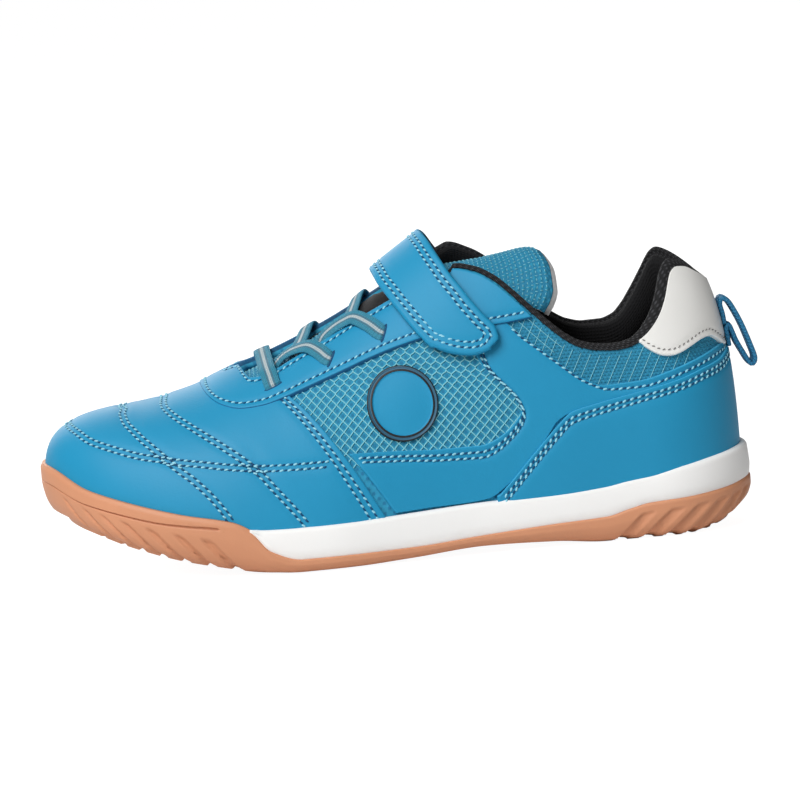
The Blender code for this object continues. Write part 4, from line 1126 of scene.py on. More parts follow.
def rubber_relief(girth, height, rib_depth):
    """How far the rubber's side is cut in by its ribs and by the bumper's line."""
    along = np.abs(girth)
    under, top = sole_height("under", girth), sole_height("rubber", girth)
    share = (height - under) / (top - under)
    toe = ribs_at(along - TOE_RIB_LEAN * height, TOE_RIBS) * window(share, -0.2, TOE_RIB_TOP, 0.1)
    heel = ribs_at(along + height, HEEL_RIBS) * window(share, -0.2, HEEL_RIB_TOP, 0.1)
    drop, half = bumper_line(girth)
    line = np.clip(3 - 2.5 * np.abs(top - drop - height) / half, 0, 1) * window(along, LINE_START, 999, 0.6)
    return rib_depth * (toe + heel) + LINE_DEPTH * line


def bumper_line(girth):
    """Drop and half width of the bumper's line, both smaller where the rubber is low."""
    along = np.abs(girth)
    tall = sole_height("rubber", girth) - sole_height("under", girth)
    low = np.minimum(1, tall / 12)
    return read(BUMPER_LINE, "drop", along) * low, read(BUMPER_LINE, "half", along) * low


def make_outsole(shoe):
    """Rubber cup sole with a ribbed toe bumper, ribbed heel and a cross-grooved tread."""
    girth = girth_row(0.6)
    ribs, tread = shoe.sizes.rib_depth / MM, shoe.sizes.tread_depth / MM
    spine = np.clip(station_of(girth), HEEL_CENTRE, TOE_CENTRE)
    rings = []
    low, top = sole_height("under", girth), sole_height("rubber", girth)
    edge = sole_point(girth, OUTSOLE_SIDE["inset"][0], low)
    notch = rubber_relief(girth, low, ribs)
    for share in np.linspace(1, 0, 30, endpoint=False):
        x = mix(edge[:, 0], HEEL_X - spine, share)
        y = mix(edge[:, 1], swing(spine) - CENTRE_Y, share)
        station = HEEL_X - x
        near = np.abs(station[:, None] - TREAD_STATIONS).min(1)
        reach = np.abs(y - swing(station) + CENTRE_Y)
        inner = window(reach, -99, half_width(station, girth) - TREAD_MARGIN, 1.5)
        cut = tread * window(near, -99, TREAD_WIDTH / 2, 0.8) * inner
        inward = np.hypot(x - edge[:, 0], y - edge[:, 1])
        cut = cut + notch * np.clip(1.1 - inward / RIB_REACH, 0, 1)
        rings.append(np.stack((x, y, read(SOLE, "under", station) + cut), -1))
    drop, half = bumper_line(girth)
    heights = [mix(low, top - drop - 2 * half, share) for share in np.linspace(0, 1, 26)]
    heights += [top - drop + half * offset for offset in (-1.2, -0.8, 0.8, 1.2)]
    heights += [mix(top - drop + 2 * half, top, share) for share in (0, 0.3, 0.55, 0.75, 0.88, 0.96, 1.0)]
    insets = [read(OUTSOLE_SIDE, "inset", (height - low) / (top - low)) for height in heights]
    side = np.array([sole_point(girth, inset, height) for inset, height in zip(insets, heights)])
    cut = np.array([rubber_relief(girth, height, ribs) for height in heights])
    out = unit(np.cross(np.gradient(side, axis=0), np.roll(side, -1, 1) - np.roll(side, 1, 1)))
    rings += list(side - out * cut[..., None])
    rings.append(deck_wall(girth, GAP, top))
    floor = read(SOLE, "under", upper_foot(girth)[0]) + OUTSOLE_BASE
    rings.append(deck_wall(girth, GAP, floor))
    points = np.array(rings)
    faces = grid_faces(*points.shape[:2], closed_columns=True).tolist() + ladder(len(girth), len(rings) - 1)
    gum = finish("gum_rubber_finish", shoe.colours.gum)
    return new_piece("gum_outsole", points, faces, [gum], "gum_rubber", None, None, ("outsole",), weld=True)


def ladder(count, ring):
    """Faces across a ring whose points pair up lateral to medial, as a flat floor."""
    first, half = ring * count, count // 2
    faces = [[first, first + 1, first + count - 1]]
    for i in range(1, half - 1):
        faces.append([first + i, first + i + 1, first + count - i - 1, first + count - i])
    faces.append([first + half - 1, first + half, first + half + 1])
    return faces


def capped(rows, columns):
    """Faces of a closed body swept along rows of ring points, with both ends closed."""
    last = (rows - 1) * columns
    ends = [list(range(columns)), list(range(last, last + columns))]
    return grid_faces(rows, columns, closed_columns=True).tolist() + ends


def make_midsole(shoe):
    """White foam rim round the upper, rounded along its top, up to the toe bumper."""
    end = HEEL_ARC + RIM_FRONT - HEEL_CENTRE
    girth = np.linspace(end, -end, 420)
    top = sole_height("rim", girth)
    low = np.minimum(sole_height("rubber", girth) - 0.6, top - 0.3)
    section = [deck_wall(girth, -0.8, low), sole_point(girth, 0.9, low)]
    section += [sole_point(girth, inset, mix(low, top, share)) for inset, share in RIM_SIDE]
    round_top = np.minimum(1.6, 0.4 * (top - low))
    for angle in np.radians((0, 22, 45, 68, 90)):
        inset = 0.45 + (1 - math.cos(angle)) * round_top
        section.append(sole_point(girth, inset, top - round_top * (1 - math.sin(angle))))
    section += [deck_wall(girth, GAP, top - 0.25), deck_wall(girth, 0.05, mix(low, top, 0.4))]
    points = np.stack(section, 1)
    foam = finish("white_foam_finish", shoe.colours.midsole)
    faces = capped(*points.shape[:2])
    return new_piece("white_rim", points, faces, [foam], "white_midsole", replaces=("midsole",))


def make_footbed(shoe):
    """Dark cloth footbed on the deck, raised a little round its edge."""
    girth = girth_row(2.5)
    spine = np.clip(upper_foot(girth)[0], HEEL_SPINE, TOE_SPINE)
    rings = []
    for inset, share in ((1.0, 0.06), (0.6, 0.35), (0.8, 0.83), (2.2, 1.0)):
        rings.append(deck_wall(girth, -WALL - inset, deck_height(girth) + GAP + INSOLE * share))
    edge = rings[-1]
    for share in np.linspace(0.15, 1, 7):
        x = mix(edge[:, 0], HEEL_X - spine, share)
        y = mix(edge[:, 1], read(LAST, "spine", spine) - CENTRE_Y, share)
        height = read(SOLE, "deck", HEEL_X - x) + GAP + INSOLE
        rings.append(np.stack((x, y, height - 0.8 * min(1, 3 * share)), -1))
    points = np.array(rings)
    faces = grid_faces(*points.shape[:2], closed_columns=True).tolist() + ladder(len(girth), 0)
    cloth = finish("footbed_cloth", shoe.colours.lining)
    return new_piece("footbed", points, faces, [cloth], "black_knit", None, None, ("insole",), weld=True)


# Upper

THROAT_LINED = 112.0
PLAIN_FROM = 84.0


def make_upper_shell(shoe):
    """Hollow mesh upper with a dark lining, open at the collar, the throat and underneath."""
    girth = girth_row(1.6)
    rows = np.linspace(0, 1, 44)
    turn = rows[:, None] * top_turn(girth)[None, :]
    around = np.broadcast_to(girth, turn.shape)
    outer = skin(around, turn, 0.0)
    inner = skin(around, turn, -WALL)
    points = np.concatenate((outer, inner[::-1]))
    uv = outer[..., (0, 2)] - (NET_START, NET_CELL / 4)
    faces = grid_faces(*points.shape[:2], closed_rows=True, closed_columns=True)
    kind = np.zeros(points.shape[:2], int)
    kind[len(rows):] = 1
    kind[len(rows):len(rows) + 10, np.abs(girth) > THROAT_LINED] = 0
    below_collar = inside_outline(outer[..., (0, 2)].reshape(-1, 2), COLLAR_WINDOW).reshape(turn.shape)
    kind[:len(rows)][below_collar | (outer[..., 0] > PLAIN_FROM)] = 2
    cells = (2 * NET_STEP, NET_CELL, 0.0)
    base = finish("mesh_backing", shoe.colours.mesh, cells, specks=shoe.colours.mesh_shade)
    lining = finish("lining_cloth", shoe.colours.lining)
    fine = (1.3, 1.1, 0.6)
    plain = finish("collar_mesh", shoe.colours.mesh, fine, gaps=shoe.colours.mesh_shade)
    uvs = np.concatenate((uv, uv[::-1]))
    materials, kinds = [base, lining, plain], kind.reshape(-1)
    return new_piece("mesh_upper", points, faces, materials, "blue_mesh", uvs, kinds, ("upper",), weld=True)


def leather(shoe):
    return finish("blue_leather_finish", shoe.colours.leather, gloss=0.3)


def make_panels(shoe):
    """Leather panels: vamp, eyestay, both side panels and the heel counter."""
    # The second finish paints a highlight along the panels' open edges, and on the eyestay a shadow along
    # its edges
    skin_finish = [leather(shoe), finish("edge_highlight", shoe.colours.edge_highlight)]
    vamp_panel().build("vamp_leather", 1.15, skin_finish, "blue_leather", ("vamp",), toe_creases)
    for sign, side in ((1, "lateral"), (-1, "medial")):
        side_panel(sign).build(f"saddle_{side}", 1.1, skin_finish, "blue_leather", (f"side_panel_{side}",))
    counter_panel().build("counter_leather", 1.1, skin_finish, "blue_leather", ("heel_counter",))
    skin_finish[1] = finish("stay_edge_shadow", shoe.colours.stay_edge_shadow)
    eyestay_panel().build("eyestay_leather", 1.1, skin_finish, "blue_leather", ("eyestay",))


# Soft creases of the vamp: centre X, Y, Z, direction in plan and slope, length, width, height
TOE_CREASES = (
    ((-52.0, -34.0, 44.0), (-0.55, 0.0, 0.8), 16.0, 2.6, -0.35),
    ((-46.0, -36.0, 40.0), (-0.6, 0.0, 0.8), 14.0, 2.4, 0.25),
)


def toe_creases(points):
    """Height of the vamp's creases at points of its face."""
    height = np.zeros(points.shape[:-1])
    for centre, direction, length, width, depth in TOE_CREASES:
        offset = points - np.array(centre)
        line = unit(np.array(direction))
        along = offset @ line
        across = np.linalg.norm(offset - along[..., None] * line, axis=-1)
        height += depth * np.exp(-((along / length) ** 2) - (across / width) ** 2)
    return height


def make_heel_tab(shoe):
    """White glossy panel at the top of the heel."""
    gloss = finish("white_leather_finish", shoe.colours.heel_tab, coat=0.25)
    return heel_tab_panel().build("heel_tab_leather", 0.9, [gloss, gloss], "white_leather", ("heel_tab",))


def round_section(points, steps):
    """Closed rings of control points rounded off, each gap divided into steps."""
    before, after, beyond = np.roll(points, 1, 1), np.roll(points, -1, 1), np.roll(points, -2, 1)
    rings = []
    for t in np.arange(steps) / steps:
        bend = 2 * before - 5 * points + 4 * after - beyond + t * (3 * (points - after) + beyond - before)
        rings.append(points + 0.5 * t * (after - before + t * bend))
    return np.stack(rings, 2).reshape(len(points), -1, 3)


def make_collar(shoe):
    """Padded collar that caps the upper's top edge: a knit binding over the edge, a smooth pad inside."""
    girth = np.linspace(COLLAR_END, -COLLAR_FAR_END, 300)
    top = top_height(girth)
    slope = (top_height(girth + CUFF_STEP) - top_height(girth - CUFF_STEP)) / (2 * CUFF_STEP)
    slant = np.hypot(1, slope)
    above, below, swell = (read(CUFF, name, np.abs(girth)) for name in ("above", "below", "swell"))
    inside = WALL + GAP

    def at(inward, height):
        """A line round the collar, inward of the upper and above its edge, square to it."""
        share = np.maximum(height, 0) / slant
        place = girth - slope * share
        turn = turn_at(place, top + np.minimum(height, 0) + share)
        return skin(place, turn, -np.broadcast_to(inward, girth.shape))

    ring = [at(-0.3, GAP - 0.6)]
    ring += [at(inward, above * up) for inward, up in zip(*BINDING_SECTION.values())]
    for inward, up, down in zip(*CUFF_SECTION.values()):
        ring.append(at(np.maximum(swell * inward, inside * (down > 0)), above * up - below * down))
    ring += [at(inside, -below * share) for share in CUFF_BACK] + [at(inside, GAP)]
    points = round_section(np.stack(ring, 1), COLLAR_STEPS)
    end = np.where(girth > 0, COLLAR_END, COLLAR_FAR_END)
    left = np.clip((np.abs(girth) - end + COLLAR_TAPER) / COLLAR_TAPER, 0, 1)
    shrink = np.sqrt(np.maximum(1 - left**2, 0.01))[:, None, None]
    points = mix(points.mean(1, keepdims=True), points, shrink)
    steps = np.linalg.norm(np.diff(points, axis=1), axis=2).mean(0)
    around = np.concatenate(([0], np.cumsum(steps)))
    uv = surface_uv(COLLAR_END - girth, around)
    speckle = shoe.colours.knit_speckle
    knit = finish("binding_knit", shoe.colours.lining, (1.8, 1.3, 0.9), specks=speckle)
    pad = finish("collar_lining", shoe.colours.lining, (1.1, 1.1, 0.0))
    faces = capped(*points.shape[:2])
    columns = points.shape[1]
    bound = COLLAR_STEPS * (1 + len(BINDING_SECTION["inward"]))
    inner = [int(k % columns >= bound) for k in range(len(faces) - 2)] + [0, 0]
    piece = new_piece("collar_knit", points, faces, [knit, pad], "black_knit", uv, inner, ("collar",))
    return piece


TONGUE_COLUMNS = 33
TONGUE_CLOTH_HALF = 16.0
# Lip of the lining past the free end: reach and drop of its upper edge, then of its lower edge
TONGUE_LIP = ((0.1, 0.5), (1.7, 0.35), (0.2, 1.5), (1.6, 1.3))
TONGUE_THREAD_PITCH = 1.36
# Rows and columns of the tongue's grid under the dark patches, and the width of their pale edge in columns
TONGUE_PATCHES = (((26, 37), (8, 26), 0), ((17, 27), (20, 26), 1))


def tongue_face():
    """Grid of the tongue's upper face, from its root under the throat to its free top."""
    across = np.linspace(-1, 1, TONGUE_COLUMNS)
    turn = mix(TONGUE_LATERAL_TURN, 2 - TONGUE_MEDIAL_TURN, (across + 1) / 2)
    girths = HEEL_ARC + np.linspace(TONGUE_ROOT, TONGUE_LEAVES, 32) - HEEL_CENTRE
    rows = [skin(np.full(turn.shape, girth), turn, -WALL - TONGUE_SET) for girth in girths]
    base = rows[-1]
    middle = base[TONGUE_COLUMNS // 2]
    start = read(TONGUE_FREE, "height", TONGUE_LEAVES)
    for station in np.linspace(TONGUE_LEAVES, TONGUE_TOP, 36)[1:]:
        share = (TONGUE_LEAVES - station) / (TONGUE_LEAVES - TONGUE_TOP)
        hang = -np.where(across < 0, *TONGUE_DROP) * np.abs(across) ** TONGUE_BOW
        reach = read(TONGUE_REACH, "reach", across) * share**2
        free = np.stack((reach, TONGUE_LEAN + across * TONGUE_HALF, hang), -1)
        rise = read(TONGUE_FREE, "height", station) - start
        centre = np.array((HEEL_X - station, middle[1], middle[2] + rise))
        rows.append(centre + mix(base - middle, free, share))
    return np.array(rows)


def surface_normals(grid):
    """Directions square to a grid of points, pointing up."""
    normal = unit(np.cross(np.gradient(grid, axis=0), np.gradient(grid, axis=1)))
    return normal * np.where(normal[..., 2:].mean() < 0, -1, 1)


def make_tongue(shoe):
    """Padded mesh tongue with a pale lining that shows as a lip round its free end."""
    face = tongue_face()
    normal = surface_normals(face)
    across = np.linspace(-1, 1, TONGUE_COLUMNS)
    ends = np.linspace(0, 1, len(face))
    sides = np.sqrt(np.maximum(1 - np.abs(across) ** 6, 0))
    soft = sides[None, :] * np.sqrt(np.clip((1 - ends) / 0.05, 0, 1))[:, None]
    pad = face - normal * (TONGUE_PAD * np.maximum(soft, 0.3))[..., None]
    out = unit(face[-1] - face[-2])
    shown = np.clip(0.45 - 0.9 * across, 0.25, 1)[:, None]
    lip = [face[-1] + out * reach * shown - normal[-1] * drop for reach, drop in TONGUE_LIP]
    upper = np.concatenate((face, np.array(lip[:2])))
    lower = np.concatenate((pad, np.array(lip[2:])))
    ring = np.concatenate((upper, lower[:, ::-1]), 1)
    faces = grid_faces(*ring.shape[:2], closed_columns=True).tolist()
    count = ring.shape[1]
    columns, rows = TONGUE_COLUMNS - 1, len(face) - 1
    inside = [int(k % count >= columns or k // count >= rows) for k in range(len(faces))]
    last = (len(ring) - 1) * count
    faces += [list(range(count)), list(range(last, last + count))]
    inside += [1, 1]
    width = TONGUE_CLOTH_HALF * np.concatenate((across, across[::-1]))
    uv = surface_uv(distances(ring[:, TONGUE_COLUMNS // 2]), width)
    shade = shoe.colours.mesh_shade
    mesh = finish("tongue_mesh", shoe.colours.tongue, (1.7, 1.5, 0.0), gaps=shade)
    lining = finish("tongue_lining", shoe.colours.tongue_lining)
    piece = new_piece("tongue_pad", ring, faces, [mesh, lining], "blue_mesh", uv, inside, ("tongue",))
    make_tongue_threads(shoe, face, normal)
    make_tongue_patch(shoe, face, normal)
    return piece


def make_tongue_threads(shoe, face, normal):
    """Short pale threads all over the tongue, along and across it by turns."""
    middle = distances(face[:, TONGUE_COLUMNS // 2])
    cloth = np.stack((face, normal), 1).reshape(len(face), -1)
    origins, axes = [], []
    for i, along in enumerate(np.arange(TONGUE_THREAD_PITCH, middle[-1] - 1, TONGUE_THREAD_PITCH)):
        row, off = read_line(along, middle, cloth).reshape(2, -1, 3)
        width = distances(row)
        at = np.arange(1.0 + 0.5 * TONGUE_THREAD_PITCH * (i % 2), width[-1] - 1, TONGUE_THREAD_PITCH)
        place, up = read_line(at, width, row), unit(read_line(at, width, unit(off)))
        side = unit(read_line(at, width, np.gradient(row, axis=0)))
        ahead = np.cross(side, up)
        turned = (np.arange(len(at)) + i // 2) % 2 == 0
        long = np.where(turned[:, None], side, ahead)
        origins.append(place + 0.05 * up)
        axes.append(np.stack((long, np.cross(up, long), up), 1))
    thread = finish("tongue_thread", shoe.colours.thread)
    shape, faces = thread_shape(0.92, 0.4, 0.3, 4, THREAD_SHORT)
    points = scatter(shape, faces, np.concatenate(origins), np.concatenate(axes))
    new_piece("tongue_threads", *points, [thread], "blue_mesh")


def make_tongue_patch(shoe, face, normal):
    """Dark cloth patches under the laces, with a pale edge on their lateral side."""
    dark = finish("tongue_patch", shoe.colours.lining)
    pale = finish("tongue_patch_edge", shoe.colours.tongue_lining)
    points, faces, edge, start = [], [], [], 0
    for *spans, border in TONGUE_PATCHES:
        rows, columns = (slice(*span) for span in spans)
        patch, off = face[rows, columns], normal[rows, columns]
        body, sides = boxed(patch + off * 0.4, patch - off * 0.3)
        first = np.arange(len(sides)) < (patch.shape[0] - 1) * (patch.shape[1] - 1)
        edge.append(first & (np.arange(len(sides)) % (patch.shape[1] - 1) < border))
        points.append(body)
        faces.append(sides + start)
        start += len(body)
    kinds = np.concatenate(edge).astype(int)
    mesh = np.concatenate(points), np.concatenate(faces)
    new_piece("tongue_patch_cloth", *mesh, [dark, pale], "black_knit", None, kinds)


def boxed(front, back):
    """Points and faces of a thin closed body between two grids."""
    rows, columns = front.shape[:2]
    points = np.concatenate((front.reshape(-1, 3), back.reshape(-1, 3)))
    faces = grid_faces(rows, columns)
    size = rows * columns
    index = np.arange(size).reshape(rows, columns)
    rim = np.concatenate((index[0, :-1], index[:-1, -1], index[-1, :0:-1], index[:0:-1, 0]))
    after = np.roll(rim, -1)
    sides = np.stack((after, rim, rim + size, after + size), -1)
    return points, np.concatenate((faces, faces[:, ::-1] + size, sides))


# Strap, laces, loop and badge

STRAP_ROUND = 0.9
STRAP_SEAMS = (2.4, 4.2)
STRAP_TROUGH = 0.22


def strap_place(reach, share):
    """Girth, turn and lift of the strap's underside; reach is 1 at the lateral end and -1 at the medial."""
    along = np.abs(reach)
    x = mix(read(STRAP, "front", along), read(STRAP, "rear", along), share)
    station = (HEEL_X - x - HEEL_RIM) * SOLE_LENGTH / (SOLE_LENGTH - HEEL_RIM - RIM)
    end = mix(STRAP_END_FRONT, STRAP_END_REAR, share) - 4 * STRAP_END_BOW * share * (1 - share)
    return HEEL_ARC + station - HEEL_CENTRE, 1 - (1 - end) * reach, STRAP_LIFT + STRAP_ARCH * (1 - along**2)


def strap_outline(lift):
    """The strap's edge at a lift off its underside, from the lateral end by the rear edge to the front."""
    run, over = np.linspace(1, -1, 400), np.linspace(0, 1, 120)
    reach = np.concatenate((np.ones(120), run, -np.ones(120), -run))
    share = np.concatenate((over, np.ones(400), over[::-1], np.zeros(400)))
    girth, turn, base = strap_place(reach, share)
    return skin(girth, turn, base + lift), normal_at(girth, turn)


def make_strap(shoe):
    """Hook-and-loop strap over the instep, with rounded edges and a double seam."""
    ends = 1 - np.array((0.0, 0.002, 0.006, 0.012, 0.02, 0.03))
    edge = np.array((0, 0.008, 0.02, 0.045))
    reach = np.concatenate((ends, np.linspace(0.96, -0.96, 130), -ends[::-1]))
    share = np.concatenate((edge, np.linspace(0.075, 0.925, 27), 1 - edge[::-1]))
    reach, share = np.broadcast_arrays(reach[:, None], share[None, :])
    girth, turn, lift = strap_place(reach, share)
    bottom = skin(girth, turn, lift)
    near = distance_to(bottom, strap_outline(0.0)[0])
    left = 1 - np.clip(near / STRAP_ROUND, 0, 1)
    thick = shoe.sizes.strap_thickness / MM * (0.45 + 0.55 * np.sqrt(np.maximum(1 - left**2, 0)))
    for seam in STRAP_SEAMS:
        thick = thick - STRAP_TROUGH * np.exp(-(((near - seam) / 0.8) ** 2))
    top = skin(girth, turn, lift + thick)
    points, faces = boxed(top, bottom)
    count = len(grid_faces(*share.shape))
    under = np.zeros(len(faces), int)
    under[count:2 * count] = 1
    width = np.linalg.norm(bottom[:, 0] - bottom[:, -1], axis=1)[:, None]
    run = distances(bottom.mean(1))[:, None]
    uv = np.stack(np.broadcast_arrays(run, share * width), -1).reshape(-1, 2)
    hook = finish("strap_underside", shoe.colours.strap_underside)
    uvs = np.concatenate((uv, uv))
    skins = [leather(shoe), hook]
    return new_piece("strap_leather", points, faces, skins, "blue_leather", uvs, under, ("strap",))


LACE_WEAVE = (0.9, 0.55, 0.0)
# Powers that round the lace's section, and how much longer than the lace is wide the painted shadow at each
# lace hole is, with its width and height
LACE_ROUND = (0.7, 0.6)
LACE_SLIT_SPARE = 1.0
LACE_SLIT = (1.3, 0.3)
LOOP_ROUND = (0.6, 0.7)
# Runs of the lace: girth, way across the throat with edges at 0 and 1 and holes at -1 and 2, and lift
LACE_RUNS = (
    ((165.5, -1.16, -0.6), (165.7, -1.08, 1.2), (166, -0.97, 2.15), (166.5, -0.5, 2.5),
     (167, 0, 2.7), (167.4, 0.5, 2.9), (167.8, 1, 2.7), (168, 1.5, 2.5), (168, 1.97, 2.15),
     (168, 2.08, 1.2), (168, 2.16, -0.6)),
    ((146.1, 2.16, -0.6), (146.6, 2.08, 1.2), (147.6, 1.97, 2.15), (149.6, 1.5, 2.5),
     (151.5, 1, 2.6), (154, 0.55, 2.5), (156.4, 0.25, 1.5), (157.6, 0.1, -0.6),
     (158.4, -0.02, -2.3), (159.2, -0.14, -3.0)),
    ((128.1, 2.16, -0.6), (128.6, 2.08, 1.2), (129.6, 1.97, 2.15), (131.6, 1.5, 2.5),
     (133.4, 1, 2.6), (135.9, 0.55, 2.5), (138, 0.25, 1.5), (139, 0.1, -0.6), (139.8, -0.02, -2.3),
     (140.6, -0.14, -3.0)),
    ((145.2, -1.16, -0.6), (146, -1.08, 1.2), (147.3, -0.97, 2.15), (149.6, -0.55, 2.45),
     (152.7, -0.08, 2.7), (157, 0.12, 2.8), (161, 0.2, 2.3), (164.5, 0.22, 0.6), (167.5, 0.2, -2.2)),
    ((127.2, -1.16, -0.6), (128, -1.08, 1.2), (129.3, -0.97, 2.15), (132.6, -0.55, 2.45),
     (136.6, -0.08, 2.7), (140.5, 0.04, 2.8), (144.5, 0.06, 2.5), (147.6, 0.06, 1.5),
     (150, 0.04, -0.6), (152, 0, -2.4), (153.5, -0.06, -3.0)),
)


def over_throat(girth, across, lift):
    """Points of the lace and the surface's directions there; inside the throat it spans straight across."""
    near, far = top_turn(girth), 2 - top_turn(-girth)
    holes = EYELETS["girth"][::-1]
    near_hole = np.interp(girth, holes, turn_at(holes, EYELETS["lateral"][::-1]))
    far_hole = 2 - np.interp(girth, holes, turn_at(-holes, EYELETS["medial"][::-1]))
    turn = mix(near, far, np.clip(across, 0, 1))
    turn = turn + np.maximum(-across, 0) * (near_hole - near) + np.maximum(across - 1, 0) * (far_hole - far)
    share = across[:, None]
    chord = mix(skin(girth, near, lift), skin(girth, far, lift), share)
    return np.where((share > 0) & (share < 1), chord, skin(girth, turn, lift)), normal_at(girth, turn)


def make_laces(shoe):
    """Flat elastic laces, one bar and two crossings, with a pale stripe along the middle."""
    width, thick = shoe.sizes.lace_width / MM, shoe.sizes.lace_thickness / MM
    points, faces, uvs, origins, axes = [], [], [], [], []
    side, rise = flat_section(width, thick, *LACE_ROUND)
    for run in LACE_RUNS:
        line = smooth(np.hstack(over_throat(*np.array(run, float).T)), 80)
        path, holes = line[:, :3], [place for place in (run[1], run[-2]) if abs(place[1] - 0.5) > 1.5]
        wide, up = path_sides(path, line[:, 3:])
        ring = path[:, None] + wide[:, None] * side[None, :, None] + up[:, None] * rise[None, :, None]
        start = sum(len(p) for p in points)
        faces += [[i + start for i in f] for f in capped(*ring.shape[:2])]
        points.append(ring.reshape(-1, 3))
        uvs.append(surface_uv(distances(path), side + width / 2).reshape(-1, 2))
        for end in holes:
            place, off = over_throat(*np.array([(*end[:2], EYESTAY_TOP)], float).T)
            long = wide[np.argmin(np.linalg.norm(path - place, axis=1))]
            origins.append(place[0])
            axes.append(np.stack((long, np.cross(off[0], long), off[0])))
    # Dark patches of painted shadow where each lace goes into its hole
    slit = finish("lace_hole_shadow", shoe.colours.painted_slit_shade)
    shape = thread_shape(width + LACE_SLIT_SPARE, *LACE_SLIT, 10, THREAD_FULL)
    new_piece("lace_hole_shadows", *scatter(*shape, np.array(origins), np.array(axes)), [slit], "blue_leather")
    edge, grey, pale = shoe.colours.lace_edge, shoe.colours.lace_grey, shoe.colours.lace_centre
    stripes = ((0.0, edge), (0.28, edge), (0.31, grey), (0.36, grey), (0.39, edge), (0.42, pale))
    stripes += ((0.58, pale), (0.61, edge), (0.64, grey), (0.69, grey), (0.72, edge), (1.0, edge))
    weave = striped_finish("lace_weave_finish", stripes, LACE_WEAVE, width)
    names = ("lace_bar", "lace_cross_low", "lace_cross_high")
    points, uv = np.concatenate(points), np.concatenate(uvs)
    return new_piece("lace_strips", points, faces, [weave], "lace_weave", uv, None, names)


def make_loop(shoe):
    """Webbing pull loop at the back of the heel."""
    path = smooth(np.column_stack((LOOP_PATH["x"], LOOP_PATH["z"])), 90)
    forward = unit(np.gradient(path, axis=0))
    normal = np.column_stack((forward[:, 1], -forward[:, 0]))
    width, thick = shoe.sizes.loop_width / MM, shoe.sizes.loop_thickness / MM
    side, rise = flat_section(width, thick, *LOOP_ROUND)
    x = path[:, None, 0] + normal[:, None, 0] * rise[None, :]
    z = path[:, None, 1] + normal[:, None, 1] * rise[None, :]
    y = np.broadcast_to(side[None, :] - CENTRE_Y, x.shape)
    points = np.stack((x, y, z), -1)
    uv = surface_uv(distances(path), side)
    shade = shoe.colours.webbing_shade
    web = finish("webbing_finish", shoe.colours.webbing, (1.2, 1.6, 0.8), gaps=shade)
    faces = capped(*points.shape[:2])
    return new_piece("heel_loop", points, faces, [web], "blue_webbing", uv, None, ("pull_loop",))


# Badge section: share of its radius, height off the mesh, and which finish
BADGE_SECTION = table(
    "radius lift ring",
    (1.00, -0.2, 1), (1.00, 0.9, 1), (0.99, 1.2, 1), (0.965, 1.3, 1), (0.945, 1.2, 2),
    (0.93, 1.05, 2), (0.90, 1.1, 2), (0.88, 1.2, 1), (0.865, 1.3, 1), (0.845, 1.2, 1),
    (0.835, 0.9, 0), (0.80, 0.85, 0), (0.60, 0.95, 0), (0.40, 1, 0), (0.20, 1.05, 0),
    (0.00, 1.05, 0),
)


def make_badge(shoe):
    """Plain round badge: a double ring round a bare disc."""
    angle = np.linspace(0, 2 * math.pi, 96, endpoint=False)
    rings = []
    for radius, lift in zip(BADGE_SECTION["radius"], BADGE_SECTION["lift"]):
        girth = BADGE_GIRTH + BADGE_RADIUS * radius * np.cos(angle)
        turn = turn_at(girth, BADGE_HEIGHT + BADGE_RADIUS * radius * np.sin(angle))
        rings.append(skin(girth, turn, lift))
    points = np.array(rings)
    faces = grid_faces(*points.shape[:2], closed_columns=True)
    disc = np.repeat(BADGE_SECTION["ring"][1:], len(angle)).astype(int)
    materials = [finish("badge_disc", shoe.colours.leather, gloss=0.3)]
    materials.append(finish("badge_line", shoe.colours.lining))
    materials.append(finish("badge_band", shoe.colours.badge_band))
    return new_piece("badge_plain", points, faces, materials, "badge_rubber", None, disc, ("badge",),
                     weld=True)


# Threads


def tubes(paths, radius, sides=6):
    """Points and faces of thin round threads along paths, with their ends closed."""
    points, faces, start = [], [], 0
    angles = np.linspace(0, 2 * math.pi, sides, endpoint=False)
    for path, normal in paths:
        wide, up = path_sides(path, normal)
        ring = path[:, None] + radius * (
            wide[:, None] * np.cos(angles)[None, :, None] + up[:, None] * np.sin(angles)[None, :, None]
        )
        faces += [[i + start for i in f] for f in capped(*ring.shape[:2])]
        points.append(ring.reshape(-1, 3))
        start += ring.shape[0] * sides
    return np.concatenate(points), faces


def net_path(place, sign, lift=NET_LIFT):
    """A thread on one side of the upper from lateral girths and turns, with the directions off it."""
    if sign < 0:
        place = mirrored(place)
    return on_face(place, lift)


def window_lines():
    """Zigzag threads of the side window, mirrored by turns so that they meet; higher up they are blunt."""
    lines = []
    height = np.arange(16.0, 76.0, NET_CELL / 8)
    upper = np.clip((height - NET_BLUNT[0]) / (NET_BLUNT[1] - NET_BLUNT[0]), 0, 1)
    for k in range(NET_LINES):
        wave = np.abs(((height / NET_CELL + 0.5 * (k % 2)) % 1) * 2 - 1) * 2 - 1
        blunt = mix(wave, np.clip(1.7 * wave, -1, 1), upper)
        line = np.column_stack((NET_START + NET_STEP * (k + blunt / 2), height))
        lines += [on_lateral(part) for part in pieces_of(line, inside_outline(line, WINDOW_EDGE))]
    return lines


def pieces_of(line, inside, least=4):
    """The stretches of a line that lie inside."""
    parts, current = [], []
    for point, kept in zip(line, inside):
        if kept:
            current.append(point)
            continue
        if len(current) >= least:
            parts.append(np.array(current))
        current = []
    if len(current) >= least:
        parts.append(np.array(current))
    return parts


